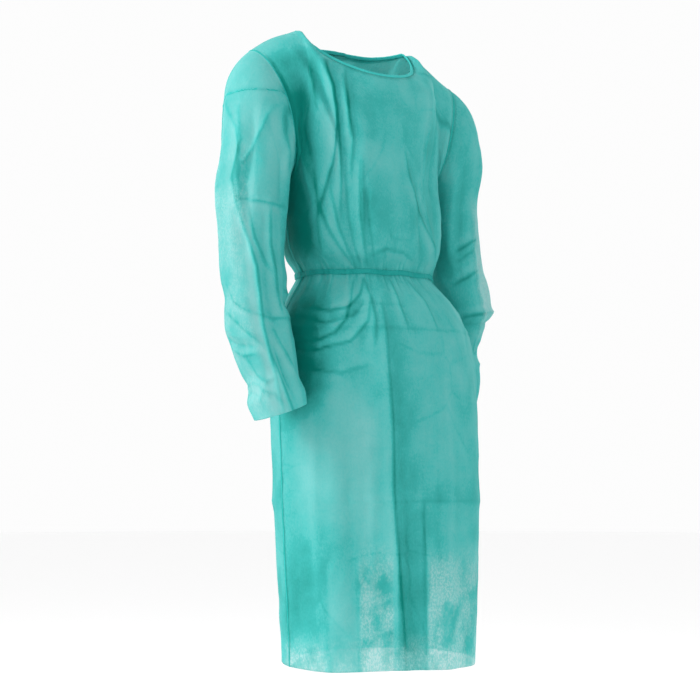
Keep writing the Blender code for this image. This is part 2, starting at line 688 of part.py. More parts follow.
def main():
    for thing in list(bpy.data.objects):
        bpy.data.objects.remove(thing)
    gown = bpy.data.collections.new("isolation_gown")
    bpy.context.scene.collection.children.link(gown)

    front = front_grid()
    cloth_from_grid("front", front, gown, away_from_axis)
    left, right = back_grid(LEFT), back_grid(RIGHT)
    cloth_from_grid("back_left", left, gown, away_from_axis)
    cloth_from_grid("back_right", back_grid(RIGHT, under=True), gown, away_from_axis)
    for side in (LEFT, RIGHT):
        def away_from_arm(point, side=side):
            centre = arm_frame(side, clamp(point.z, ARMS[side][-1].z, ARMS[side][0].z))[0]
            return (point - Vector((centre.x, centre.y, point.z))).normalized()

        cloth_from_grid("sleeve_" + SIDE_NAME[side], sleeve_grid(side), gown, away_from_arm, closed=True)

    half_columns = len(left) - 1 - LAP_COLUMNS
    waist_tie("waist_tie_front", front, TIE_CLEARANCE, gown)
    waist_tie("waist_tie_left", back_tie_columns(left, half_columns), BACK_TIE_CLEARANCE, gown)
    waist_tie("waist_tie_right", back_tie_columns(right, half_columns), BACK_TIE_CLEARANCE, gown)

    steps = [BINDING_START + (1 - BINDING_START) * i / BINDING_STEPS for i in range(BINDING_STEPS + 1)]
    front_stations = [(RIGHT, FRONT, share) for share in steps]
    front_stations += [(LEFT, FRONT, share) for share in steps[-2::-1]]
    neck_binding("neck_binding_front", front_stations, gown)
    back_steps = [share * (1 + LAP_AT_NECK) for share in steps]
    neck_binding("neck_binding_left", [(LEFT, BACK, share) for share in back_steps], gown)
    neck_binding("neck_binding_right", [(RIGHT, BACK, share) for share in back_steps], gown, sunk=True)

    belt_row = len(SKIRT_ROWS) - 0.5
    tied_pair("waist", left, grid_point(left, half_columns, belt_row), gown, WAIST_TAIL_LENGTH)
    neck_centre = neck_edge(LEFT, BACK, 1.0) - neck_inward(LEFT, BACK, 1.0) * (BINDING_WIDTH / 2)
    tied_pair("neck", left, neck_centre, gown, NECK_TAIL_LENGTH)


main()
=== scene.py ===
"""Isolation gown of thin nonwoven cloth: its cloth, ties, folds, finish, studio and camera."""
import math
from collections import namedtuple

import bmesh
import bpy
import numpy as np
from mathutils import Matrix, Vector, kdtree


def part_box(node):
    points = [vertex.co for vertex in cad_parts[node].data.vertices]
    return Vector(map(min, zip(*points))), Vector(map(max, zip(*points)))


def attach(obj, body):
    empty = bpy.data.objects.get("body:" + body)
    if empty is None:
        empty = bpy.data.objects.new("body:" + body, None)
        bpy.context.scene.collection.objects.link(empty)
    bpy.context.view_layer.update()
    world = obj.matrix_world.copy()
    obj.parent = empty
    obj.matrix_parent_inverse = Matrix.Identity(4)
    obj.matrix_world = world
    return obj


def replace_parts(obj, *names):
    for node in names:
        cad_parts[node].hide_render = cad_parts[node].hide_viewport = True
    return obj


bl_info = {
    "name": "Isolation Gown",
    "version": (1, 0, 0),
    "blender": (4, 5, 0),
    "location": "View3D > Sidebar > Gown",
    "description": "Makes the cloth, ties and studio of an isolation gown",
    "category": "Object",
}

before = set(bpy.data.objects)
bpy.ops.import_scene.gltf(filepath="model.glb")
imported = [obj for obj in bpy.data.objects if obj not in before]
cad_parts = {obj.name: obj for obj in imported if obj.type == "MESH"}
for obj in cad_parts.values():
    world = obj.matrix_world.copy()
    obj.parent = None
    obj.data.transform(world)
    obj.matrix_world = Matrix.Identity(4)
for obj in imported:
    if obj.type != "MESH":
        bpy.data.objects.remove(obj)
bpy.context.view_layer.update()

CLOTH_WALL = 0.0015     # of the cloth's solids
WALL_SLACK = 0.1        # how far, as a share, a point's partner may be off the wall's thickness
MERGE = 0.00001
# Levels on the gown
ARMHOLE_LEVEL = -0.26
ARMPIT_LEVEL = -0.215
BELT_LEVEL = -0.436
HEM_TOP = -1.10

# The columns of a panel run to the left where way is 1, as seen from the front, else to the right.
# Its bearings lie within half a turn of the one given.
Panel = namedtuple("Panel", "columns rows way bearing sewn_sides")
PANELS = {
    "front": Panel(184, 262, 1, 0.0, ("start", "end")),
    "back_left": Panel(120, 250, -1, 180.0, ("start",)),
    "back_right": Panel(120, 250, -1, -180.0, ("end",)),
}
SLEEVES = {"sleeve_right": (176, 262), "sleeve_left": (140, 220)}     # columns and rows
SLEEVE_TOP = -0.30
SLEEVE_STREAK_ANGLE = 0.15
# Creases fade out within this much of a sewn edge
TOP_FADE = 0.020
SIDE_FADE = 0.018
METRES_PER_DEGREE = {"body": 0.0028, "sleeve": 0.00095}
Centre = namedtuple("Centre", "level x y")
CENTRES = [Centre(-1.14, 0.031, -0.045), Centre(-0.716, 0.029, -0.038), Centre(-0.541, 0.022, -0.029),
           Centre(-0.446, 0.018, -0.016), Centre(-0.40, 0.012, -0.012), Centre(-0.265, 0.004, -0.006)]

Crease = namedtuple("Crease", "height near_width far_width points")


def crease_table(rows):
    """Creases from rows in millimetres and degrees: height, near width, far width, points.

    The height is how far a crease stands out, - for a trough. Its two flanks have their own widths.
    Each point has a bearing, from the centre front and + to the left, and a level.
    """
    return [Crease(height / 1000, near_width / 1000, far_width / 1000,
                   [(bearing, level / 1000) for bearing, level in points])
            for height, near_width, far_width, *points in rows]


BODY_CREASES = crease_table([
    # The press fold down the centre front and its band
    (3.8, 4, 14, (-21, -500), (-21, -670), (-21, -830), (-18, -960), (-13, -1140)),
    (-2.6, 10, 10, (-15, -600), (-14, -800), (-10, -980), (-6, -1140)),
    (2.4, 8, 4, (1, -840), (3, -950), (4, -1140)),
    # Folds that fan out from the waist on the right side
    (3.6, 6, 9, (-40, -425), (-52, -370), (-58, -320), (-60, -260)),
    (3, 5, 7, (-38, -425), (-46, -360), (-50, -290)),
    (-2.8, 6, 6, (-34, -425), (-38, -350), (-39, -270)),
    (3, 6, 10, (-27, -425), (-29, -340), (-27, -240)),
    (-2.4, 8, 6, (-20, -425), (-23, -360), (-24, -290)),
    # Folds from the right shoulder to the breast
    (5, 7, 13, (-72, -45), (-62, -90), (-50, -160), (-43, -220), (-40, -290)),
    (-3.8, 8, 8, (-62, -50), (-54, -100), (-46, -170), (-41, -240)),
    (4, 6, 11, (-53, -60), (-46, -110), (-43, -170), (-42, -260), (-44, -330)),
    (2.6, 6, 8, (-40, -70), (-36, -130), (-34, -200)),
    (4.5, 9, 12, (-78, -160), (-68, -240), (-60, -330)),
    (-4, 9, 9, (-74, -130), (-64, -220), (-56, -310)),
    (4.2, 3, 12, (-54, -60), (-46, -106), (-43, -149), (-45, -192), (-48, -244), (-54, -297), (-59, -341),
     (-60, -400)),
    (3, 3, 8, (-41, -85), (-36, -140), (-32, -200), (-34, -270)),
    (2.6, 3, 6, (-64, -60), (-59, -100), (-57, -150)),
    (3, 3, 8, (-88, -100), (-80, -150), (-76, -210), (-77, -280)),
    # Folds from the left shoulder and armhole
    (3.6, 3, 10, (12, -220), (17, -272), (23, -324), (36, -365), (50, -414)),
    (2.8, 3, 8, (54, -50), (60, -90), (66, -140), (72, -200)),
    (3.8, 10, 7, (48, -60), (44, -120), (38, -200), (36, -280)),
    (-3.4, 9, 9, (60, -90), (52, -170), (46, -260), (44, -340)),
    (4.2, 12, 8, (30, -250), (34, -320), (42, -390), (50, -430)),
    (3.4, 8, 10, (70, -150), (64, -240), (58, -330), (56, -420)),
    (-3, 8, 8, (20, -300), (24, -360), (30, -420)),
    # The blouse over the waist tie, and the small nick beside the centre
    (2.6, 5, 9, (-24, -408), (-10, -396), (6, -400), (18, -412)),
    (-1.6, 2.2, 2.2, (-6, -362), (-5, -376), (2, -378), (12, -379)),
    (2, 3, 4, (-25, -240), (-26, -310), (-27, -370)),
    # Hoops below the waist on the right side
    (4, 3, 9, (-78, -556), (-61, -563), (-52, -551), (-46, -528), (-43, -491), (-42, -455)),
    (2.8, 3, 8, (-33, -450), (-28, -491), (-27, -528), (-29, -570)),
    (2.8, 3, 8, (-6, -450), (-6, -498), (-4, -540)),
    (3, 3, 9, (14, -448), (19, -490), (20, -540)),
    (3.4, 3, 10, (50, -436), (58, -465), (60, -500), (56, -540)),
    (4.2, 4, 10, (-74, -500), (-56, -512), (-44, -506), (-36, -480), (-33, -452)),
    (-3.4, 6, 6, (-78, -518), (-58, -530), (-42, -520), (-34, -494)),
    (3.6, 5, 11, (-84, -566), (-62, -580), (-44, -566), (-32, -530), (-29, -490)),
    (2, 5, 9, (-70, -610), (-50, -622), (-34, -606)),
    # The fold that falls from the waist on the left side
    (5, 10, 13, (44, -440), (54, -475), (62, -520), (68, -570), (70, -640)),
    (-3.6, 10, 10, (52, -450), (62, -500), (72, -560)),
    (2.8, 8, 10, (26, -450), (34, -500), (38, -570), (40, -660)),
    # Levels left by packing
    (-1.6, 2.8, 5, (-95, -541), (-60, -543), (0, -541), (60, -540), (95, -542)),
    (-1.3, 2.6, 4.5, (-40, -498), (-20, -497), (4, -499)),
    (0.8, 3, 5, (-60, -845), (0, -842), (50, -845), (95, -843)),
    (-1.2, 2.8, 4, (100, -541), (140, -543), (182, -541), (225, -542), (262, -540)),
    (0.8, 3, 5, (96, -844), (150, -842), (200, -845), (262, -843)),
    # Long soft folds of the skirt, front and right
    (2.6, 12, 18, (-62, -630), (-66, -800), (-64, -980), (-60, -1140)),
    (-2.2, 14, 12, (-48, -660), (-47, -850), (-45, -1140)),
    (1.6, 10, 14, (-36, -620), (-34, -800), (-33, -1020)),
    (2.5, 13, 16, (24, -600), (26, -800), (24, -1000), (22, -1140)),
    (-1.9, 12, 12, (10, -620), (12, -820), (14, -1140)),
    (2.1, 12, 12, (52, -620), (56, -820), (55, -1140)),
    (-1.9, 12, 12, (68, -680), (72, -900), (70, -1140)),
    # The back's folds: from the shoulders to the lap, over the waist tie and down the skirt
    (4.4, 10, 13, (118, -90), (132, -170), (146, -260), (154, -360)),
    (-3.6, 10, 10, (128, -70), (142, -150), (156, -250), (164, -340)),
    (3.8, 9, 12, (242, -90), (228, -170), (214, -260), (206, -360)),
    (-3.6, 10, 10, (232, -70), (218, -150), (204, -260), (197, -350)),
    (3, 8, 10, (104, -160), (110, -260), (118, -370), (124, -425)),
    (3.4, 8, 10, (256, -150), (250, -250), (240, -360), (236, -425)),
    (3, 6, 9, (168, -425), (164, -360), (160, -280)),
    (-2.6, 6, 8, (176, -425), (174, -350), (171, -240)),
    (3, 7, 8, (198, -425), (202, -360), (206, -300)),
    (4.6, 14, 14, (112, -460), (116, -640), (118, -880), (116, -1130)),
    (-3.8, 13, 13, (128, -470), (132, -680), (130, -920), (132, -1130)),
    (4.2, 12, 15, (146, -460), (148, -660), (150, -900), (147, -1130)),
    (-3, 12, 12, (162, -470), (164, -700), (162, -1120)),
    (3.6, 10, 16, (196, -470), (198, -700), (200, -940), (198, -1120)),
    (-3.6, 13, 13, (214, -470), (212, -720), (214, -1120)),
    (4.4, 13, 13, (230, -460), (228, -660), (226, -920), (229, -1130)),
    (-3.6, 13, 13, (247, -480), (244, -740), (243, -1130)),
])

# How a crease fades to its ends and flanks, and the painted light and shade on it
CREASE_END_SHARE = 0.35
CREASE_END_POWER = 0.7
FLANK_POWER = 1.4
FULL_HEIGHT = 0.004       # the crease height that is shaded in full
MOST_SHADE = 1.2
SHARP_WIDTH = 0.0065      # a crease with a narrower flank has a dark line of painted shade
LINE_WIDTH = 0.0030
# Painted shade: dark lines along sharp ridges and troughs, and a soft dark band along wider troughs
LINE_SHADES = {"ridge": -0.95, "trough": -0.60}
TROUGH_SHADE, TROUGH_SHADE_WIDTH = -0.26, 0.007
# Painted highlight on the flank towards the key light, painted shade on the other flank
FLANK_LIGHT_AND_SHADE = {"lit": 0.30, "shaded": -0.12}
FLANK_MIDDLE, FLANK_WIDTH = 0.010, 0.007

# Small gathers either side of the waist tie, uneven in height and reach, each with a painted highlight on it
# and a line of painted shade beside it
Gather = namedtuple("Gather", "bearing height below above")
GATHERS = [Gather(-90 + 6.3 * i + 1.9 * math.sin(2.3 * i), 0.0017 * (1 + 0.5 * math.sin(1.9 * i)),
                  0.040 + 0.026 * math.sin(2.7 * i + 1), 0.026 + 0.014 * math.sin(1.7 * i))
           for i in range(57)]
GATHER_WIDTH = 0.0034
GATHER_HIGHLIGHT = 0.20
GATHER_SHADE, GATHER_SHADE_PLACE, GATHER_SHADE_WIDTH = -0.40, 0.0045, 0.003
# Under the tie the cloth is pressed flat, and a band of painted shadow runs along the tie
PRESSED_SHARE = 0.35
PRESSED_REACH = 0.016
SMOOTH_REACH = 0.03
# Painted shadow along the tie, where the cloth above overhangs it
BELT_SHADE, BELT_SHADE_REACH = -0.35, 0.008

# The crinkle's cells: how many round, their heights in metres, how they lean and drift, and their share
BODY_CRINKLES = 20
SLEEVE_CRINKLES = 8
DRIFT, DRIFT_CELL = 0.5, 0.12
WIDE_SHARE, WIDE_CELL, WIDE_LEAN = 0.65, 0.085, 7
FINE_CELL, FINE_LEAN = 0.034, -14
CRINKLE_SEEDS = {"front": 11, "sleeve_right": 30, "sleeve_left": 32}
CRINKLE_TONE = 0.10
SLEEVE_CRINKLE_SHARE = 0.8
LATTICE = 64

# Where the cloth puffs or slumps as a whole: middle, reach and shift
Move = namedtuple("Move", "middle reach shift")
MOVES = [
    Move((-0.165, 0.000, -0.030), 0.060, (-0.007, 0.004, 0.012)),
    Move((-0.215, 0.000, -0.090), 0.045, (-0.009, 0.005, 0.004)),
    Move((-0.270, 0.020, -0.290), 0.060, (-0.012, 0.007, 0.000)),
    Move((0.100, 0.000, -0.010), 0.055, (0.002, -0.001, 0.009)),
    Move((0.000, 0.085, -0.010), 0.060, (0.000, 0.002, 0.009)),
    Move((0.250, -0.050, -0.215), 0.050, (0.009, -0.005, 0.000)),
    Move((0.285, -0.040, -0.490), 0.040, (0.003, -0.002, 0.000)),
    Move((0.270, 0.000, -0.560), 0.028, (-0.009, 0.005, 0.000)),
    Move((-0.020, -0.190, -1.150), 0.100, (0.000, 0.000, 0.007)),
]
# The near sleeve's end rises on the side that faces this angle, and drops on the other
CUFF_FACING = 300.0
CUFF_DROP = 0.010
CUFF_RISE = 0.012
CUFF_REACH = 0.080
# The level line round the near sleeve's top, by angle round it and height
DROP_SEAM = [(-70, -0.172), (-20, -0.170), (20, -0.168), (52, -0.152), (71, -0.141), (108, -0.121),
             (143, -0.119), (180, -0.124), (215, -0.134), (250, -0.150), (290, -0.172), (340, -0.170)]

# Broad parts of the cloth by bearing and height: paler where the tone is above 0, darker below,
# with soft edges in degrees at the low and far sides, and in metres above and below.
# Many of these are painted light and shade, as marked.
Zone = namedtuple("Zone", "tone low high bottom top low_soft high_soft soft_height")
BODY_ZONES = [
    # Painted shadow of the near arm on the torso, and below the tie on the skirt
    Zone(-1.35, -112, -50, -0.455, -0.08, 14, 22, 0.08),
    Zone(-1.20, -90, -50, -0.75, -0.420, 8, 20, 0.11),
    # Painted shade under the far arm, on the back under the near arm, and on the far side of the skirt
    Zone(-0.55, 62, 112, -0.45, -0.10, 24, 14, 0.09),
    Zone(-0.60, 236, 262, -0.45, -0.10, 16, 10, 0.09),
    Zone(-0.15, 36, 110, -1.20, -0.45, 30, 30, 0.10),
    Zone(-0.60, -19.5, 3.5, -1.20, -0.80, 1.6, 1.8, 0.14),
    Zone(0.30, -61, -44, -1.20, -0.93, 2, 2, 0.05),
    Zone(-0.18, -20, 2, -0.84, -0.52, 1.2, 16, 0.05),
    # Painted highlight where the key light falls on the near side of the skirt
    Zone(0.62, -84, -22, -0.93, -0.60, 12, 16, 0.12),
    Zone(-0.34, -110, -58, -1.11, -0.92, 10, 8, 0.06),
    # Painted shade below the near shoulder, and a painted highlight on its top
    Zone(-0.60, -84, -50, -0.17, -0.02, 10, 12, 0.05),
    Zone(0.30, -98, -76, -0.09, 0.03, 8, 8, 0.04),
    Zone(0.18, -60, -30, -0.40, -0.25, 10, 10, 0.06),
    # Painted shade on the far side of the chest
    Zone(-0.16, 0, 60, -0.42, -0.12, 20, 20, 0.10),
    Zone(-0.30, 168, 192, -1.20, -0.02, 2, 2, 0.05),
]
BODY_THIN = [
    Zone(0.95, -44, -21, -1.30, -0.90, 3, 2, 0.09),
    Zone(0.95, 4, 66, -1.30, -0.91, 4, 16, 0.09),
    Zone(0.90, -98, -62, -1.30, -1.085, 6, 4, 0.04),
    Zone(0.40, -98, 98, -1.30, -1.06, 6, 6, 0.06),
    Zone(0.80, 100, 262, -1.30, -0.88, 20, 20, 0.14),
]
# Zones of the sleeves by angle round them and height, mostly painted light and shade
SLEEVE_ZONES = {
    "sleeve_right": [
        # Painted highlight where the key light falls on the outer side and on the top by the shoulder
        Zone(0.45, 116, 214, -0.72, -0.10, 5, 30, 0.06),
        Zone(0.50, 50, 230, -0.15, 0.03, 20, 30, 0.05),
        # Painted shade on the inner side, which faces the body
        Zone(-0.75, -70, 42, -0.62, -0.12, 24, 18, 0.06),
        # Painted highlight on the front, and on the outer side near the cuff
        Zone(0.42, 52, 132, -0.72, -0.12, 12, 8, 0.05),
        Zone(0.35, 96, 190, -0.73, -0.60, 8, 20, 0.03),
        Zone(-0.25, 96, 132, -0.30, -0.12, 10, 10, 0.05),
    ],
    "sleeve_left": [
        Zone(0.05, -90, 96, -0.70, -0.06, 30, 12, 0.05),
        # Painted light showing through the thin flap at the far elbow
        Zone(1.40, 98, 206, -0.550, -0.270, 12, 30, 0.06),
        # Painted shade on the inner side, which faces the body
        Zone(-0.45, -60, 60, -0.45, -0.12, 20, 20, 0.05),
    ],
}
SLEEVE_THIN = {
    "sleeve_right": [Zone(0.35, 120, 250, -0.72, -0.20, 20, 30, 0.06)],
    "sleeve_left": [Zone(1.00, 92, 210, -0.560, -0.265, 14, 30, 0.07)],
}

# On a sleeve the bearing is the angle round it: 0 inner, 90 front, 180 outer
SLEEVE_CREASES = {
    "sleeve_right": crease_table([
        (1.4, 2.5, 2.5, (30, -166), (52, -152), (71, -141), (108, -121), (143, -119), (180, -124),
         (215, -134)),
        (3, 3, 10, (182, -126), (169, -151), (151, -189), (145, -233), (145, -278), (138, -323),
         (130, -360)),
        (3.4, 10, 3, (97, -125), (89, -165), (78, -199), (63, -231), (55, -260)),
        (3, 3, 9, (124, -50), (112, -85), (108, -118)),
        (5.2, 3.5, 14, (150, -150), (143, -210), (153, -280), (140, -340), (124, -390), (111, -440),
         (110, -490), (114, -550), (114, -610), (109, -680)),
        (-3.4, 9, 7, (128, -160), (122, -220), (132, -290), (118, -360), (100, -420)),
        (4, 6, 10, (86, -330), (84, -400), (76, -470), (70, -520)),
        (-3.4, 9, 9, (98, -340), (96, -420), (92, -500), (96, -570)),
        (3, 4, 7, (145, -316), (120, -322), (92, -326), (52, -328)),
        (2.8, 3, 8, (126, -330), (112, -390), (96, -430), (84, -450)),
        (3, 3, 8, (176, -470), (158, -500), (138, -515), (112, -527)),
        (3, 3, 7, (186, -512), (164, -530), (142, -553), (118, -585)),
        (3, 3, 6, (96, -545), (88, -575), (72, -605), (58, -620)),
        (2.6, 3, 6, (160, -600), (150, -625), (132, -638), (116, -632)),
        (2.6, 3, 6, (152, -668), (136, -652), (120, -655), (104, -672)),
        (2.8, 3, 7, (104, -150), (112, -190), (126, -230), (140, -255)),
        (2.4, 3, 6, (110, -529), (92, -531), (74, -529), (40, -526)),
        (4, 5, 10, (114, -590), (104, -630), (92, -670), (88, -690)),
        (-3.6, 8, 6, (104, -580), (96, -620), (82, -660)),
        (3.4, 7, 7, (196, -545), (170, -560), (140, -566)),
        (-3.4, 6, 6, (200, -562), (172, -576), (138, -580)),
        (3, 6, 6, (194, -580), (166, -594), (136, -592)),
        (3, 5, 8, (206, -650), (178, -640), (146, -644), (124, -662)),
        (-2.6, 5, 5, (200, -664), (174, -654), (148, -660)),
        (5, 12, 12, (170, -100), (176, -170), (180, -250), (186, -360), (190, -470)),
        (-4, 10, 10, (200, -120), (204, -220), (212, -340), (216, -460)),
        (3.6, 9, 12, (74, -120), (60, -180), (50, -260), (40, -330)),
        (-3.6, 9, 9, (96, -130), (80, -200), (66, -280), (56, -370)),
        (4, 10, 12, (262, -140), (270, -240), (282, -360), (290, -480)),
        (-3.4, 9, 9, (240, -160), (246, -280), (254, -400), (262, -520)),
        (3.4, 8, 10, (310, -300), (318, -400), (322, -500), (318, -600)),
        (3.4, 6, 6, (250, -540), (280, -556), (312, -562)),
        (-3.4, 6, 6, (252, -566), (284, -580), (316, -584)),
        (3, 6, 6, (10, -470), (30, -482), (54, -478)),
        (-3, 6, 6, (8, -492), (32, -504), (58, -500)),
    ]),
    "sleeve_left": crease_table([
        (4, 8, 10, (120, -140), (112, -240), (104, -340), (100, -440), (104, -540)),
        (-3.4, 8, 8, (136, -160), (130, -260), (122, -360), (118, -460)),
        (3.6, 7, 10, (70, -150), (60, -240), (50, -330), (44, -400)),
        (-3.4, 8, 8, (86, -160), (76, -260), (66, -350), (60, -430)),
        (3.6, 8, 10, (170, -120), (176, -240), (178, -360), (172, -460)),
        (3.4, 5, 7, (60, -380), (84, -366), (110, -352)),
        (-3, 6, 6, (56, -400), (82, -386), (112, -370)),
        (3.4, 5, 8, (50, -440), (78, -426), (108, -410)),
        (5, 6, 9, (60, -500), (100, -492), (150, -486), (190, -480)),
        (-4.6, 7, 7, (56, -516), (100, -514), (150, -508), (192, -504)),
        (3, 6, 8, (96, -540), (100, -600), (98, -660)),
        (-3, 6, 6, (150, -550), (130, -566), (104, -570)),
        (3, 6, 6, (196, -570), (168, -582), (134, -586)),
        (4, 10, 10, (220, -140), (228, -260), (236, -380), (246, -500)),
        (-3.4, 9, 9, (250, -160), (258, -280), (266, -400), (276, -520)),
        (3.6, 9, 9, (284, -200), (294, -320), (302, -440), (300, -560)),
        (-3, 6, 6, (200, -600), (240, -612), (280, -608)),
        (3, 6, 6, (196, -622), (236, -632), (276, -630)),
    ]),
}

# The fields of a sheet's flat cut, though no sheet's cut is listed: width, length, area, hold, what it is
# sewn to and its tapes; then the tapes themselves
Cut = namedtuple("Cut", "width length area held sewn_to tapes")

BINDINGS = ("neck_binding_front", "neck_binding_left", "neck_binding_right")
WAIST_TIES = ("waist_tie_front", "waist_tie_left", "waist_tie_right")
TIE_ENDS = ("neck_tie_end_left", "neck_tie_end_right", "waist_tie_end_left", "waist_tie_end_right")
STRIP_ROUNDING = 2        # subdivisions
BINDING_SWELL = 0.0006
Crumple = namedtuple("Crumple", "height size seed")
BINDING_CRUMPLE = Crumple(0.00035, 0.009, 51)
TIE_CRUMPLE = Crumple(0.00022, 0.012, 71)
# The waist tie rises and falls by this much, so many times round, but not where y is near the stop,
# which is at the knot
TIE_WAVE = 0.0009
TIE_WAVES = 9
WAVE_STOP, WAVE_STOP_REACH = 0.09, 0.02
# The loose ends lie on the cloth once they have fallen this far: first level and reach
LOOSE_FALLS = {"waist": (-0.46, 0.05), "neck": (-0.03, 0.04)}
# A knot is a trefoil of tape, started at this phase
KNOTS = {"neck_knot": 0.4, "waist_knot": 1.1}
KNOT_TAPE = 0.0042
KNOT_WALL = 0.0006
KNOT_STEPS = 120
KNOT_ROOM = (0.42, 0.22, 0.42)     # widths of tape left free inside the solid's box
KNOT_LEAN = (0.6, 2.0, 0.6)
KNOT_BACK = 0.004
KNOT_CROWN = 0.22         # share of its width that the tape's middle stands out
SEAM_WIDTH = 0.0040
SEAM_LIFT = 0.0005
SEAM_WALL = 0.0002
SEAM_CLEARANCE = 0.00005
SEAM_SMOOTHING = 2
STRIP_SHARES = np.linspace(-0.5, 0.5, 7)     # places across a narrow strip


def colour_property(name, description, default):
    return bpy.props.FloatVectorProperty(name=name, description=description, default=default,
                                         subtype="COLOR", size=3, min=0.0, max=1.0)


class GownSettings(bpy.types.PropertyGroup):
    """The cloth's sizes and colours"""
    cloth_wall: bpy.props.FloatProperty(
        name="Cloth Wall", description="Thickness of the cloth as it is drawn", default=0.0004,
        min=0.0001, unit="LENGTH")
    crease_depth: bpy.props.FloatProperty(
        name="Crease Depth", description="Share of the creases' full depth", default=1.2, min=0.0)
    crinkle: bpy.props.FloatProperty(
        name="Crinkle", description="Height of the cloth's small crinkles", default=0.0015,
        min=0.0, unit="LENGTH")
    # Used for the seams' dense band, the darker mottle and the painted shade
    dense_and_shade_colour: colour_property(
        "Deep Colour", "The cloth where it is densest", (0.001, 0.235, 0.195))
    cloth_colour: colour_property(
        "Cloth Colour", "The cloth's usual colour", (0.080, 0.585, 0.560))
    # Used for the paler mottle, the thin fibres and the painted highlights
    pale_and_highlight_colour: colour_property(
        "Pale Colour", "The cloth where its fibres lie thin", (0.400, 0.800, 0.795))
    fibre_colour: colour_property(
        "Fibre Colour", "Loose fibres where the cloth is thinnest", (0.680, 0.880, 0.880))
    trim_colour: colour_property(
        "Tie Colour", "The ties and the knots", (0.006, 0.270, 0.245))
    binding_colour: colour_property(
        "Binding Colour", "The folded binding round the neck", (0.030, 0.430, 0.400))
    seam_colour: colour_property(
        "Seam Colour", "The welded seams", (0.010, 0.350, 0.320))
    density: bpy.props.FloatProperty(
        name="Density", description="How much of the light one face of the cloth stops", default=0.76,
        min=0.0, max=1.0, subtype="FACTOR")


class StudioSettings(bpy.types.PropertyGroup):
    """The camera, the floor and the light"""
    azimuth: bpy.props.FloatProperty(
        name="Azimuth", description="Where the camera stands round the gown", default=math.radians(-30),
        subtype="ANGLE")
    distance: bpy.props.FloatProperty(
        name="Distance", description="From the gown's middle line to the camera", default=3.0,
        unit="LENGTH")
    camera_height: bpy.props.FloatProperty(
        name="Camera Height", description="The camera's height", default=-0.78, unit="LENGTH")
    pitch: bpy.props.FloatProperty(
        name="Pitch", description="How far the camera looks up", default=math.radians(4.04),
        subtype="ANGLE")
    pan: bpy.props.FloatProperty(
        name="Pan", description="How far to its left the camera looks", default=3.0 / 1630.0,
        subtype="ANGLE")
    lens: bpy.props.FloatProperty(
        name="Lens", description="The camera's focal length", default=83.83, unit="CAMERA")
    floor_height: bpy.props.FloatProperty(
        name="Floor Height", description="The floor, which the hem hangs above", default=-1.46,
        unit="LENGTH")
    floor_colour: colour_property(
        "Floor Colour", "The plain floor", (0.97, 0.97, 0.97))
    surround: bpy.props.FloatProperty(
        name="Surround", description="Strength of the white surround", default=0.98, min=0.0)
    key: bpy.props.FloatProperty(
        name="Key Light", description="Power of the large light at the camera's left", default=62.0,
        min=0.0, unit="POWER")


def settings():
    return bpy.context.scene.gown


def ease(value):
    """0 to 1 with level ends, for numbers and arrays."""
    t = np.clip(value, 0.0, 1.0)
    return t * t * (3 - 2 * t)


# The solids' outer faces, as rows of points

def outer_faces(work, wall):
    """The faces of a walled sheet that lie on its outer side: the larger of its two sides."""
    tree = kdtree.KDTree(len(work.verts))
    for vert in work.verts:
        tree.insert(vert.co, vert.index)
    tree.balance()
    partner = {}
    for vert in work.verts:
        across = [(abs(distance - wall), index)
                  for _, index, distance in tree.find_range(vert.co, wall * (1 + WALL_SLACK))
                  if distance > wall * (1 - WALL_SLACK)]
        if across:
            partner[vert.index] = min(across)[1]

    def on_a_side(face):
        corners = {vert.index for vert in face.verts}
        return not any(partner.get(index) in corners for index in corners)

    left = {face for face in work.faces if on_a_side(face)}
    sides = []
    while left:
        side = [left.pop()]
        for face in side:
            for edge in face.edges:
                for other in edge.link_faces:
                    if other in left:
                        left.remove(other)
                        side.append(other)
        sides.append(side)
    return max(sides, key=lambda side: sum(face.calc_area() for face in side))


def sheet_rows(node, wall, is_first, closed=False):
    """The outer side of a CAD node's wall as an array of rows of points, from its first edge on."""
    work = bmesh.new()
    work.from_mesh(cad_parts[node].data)
    bmesh.ops.remove_doubles(work, verts=work.verts, dist=MERGE)
    work.verts.ensure_lookup_table()
    work.verts.index_update()
    faces = set(outer_faces(work, wall))
    near, rim = {}, set()
    for face in faces:
        for edge in face.edges:
            a, b = (vert.index for vert in edge.verts)
            near.setdefault(a, set()).add(b)
            near.setdefault(b, set()).add(a)
            if sum(other in faces for other in edge.link_faces) == 1:
                rim |= {a, b}
    row = {index for index in rim if is_first(work.verts[index].co)}
    rows, seen = [], set()
    while row:
        ends = row if closed else {index for index in row if len(near[index] & row) == 1}
        line = [min(ends)]
        rest = row - {line[0]}
        while rest:
            step = min(near[line[-1]] & rest)
            line.append(step)
            rest.remove(step)
        rows.append([work.verts[index].co.copy() for index in line])
        seen |= row
        row = set().union(*(near[index] for index in row)) - seen
    work.free()
    grid = [np.array(rows[0])]
    for line in rows[1:]:
        line = np.array(line)
        turns = [line, line[::-1]]
        if closed:
            turns = [np.roll(turn, shift, axis=0) for turn in turns for shift in range(len(line))]
        grid.append(min(turns, key=lambda turn: np.abs(turn - grid[-1]).sum()))
    return np.array(grid)


# Smooth surfaces through rows of points

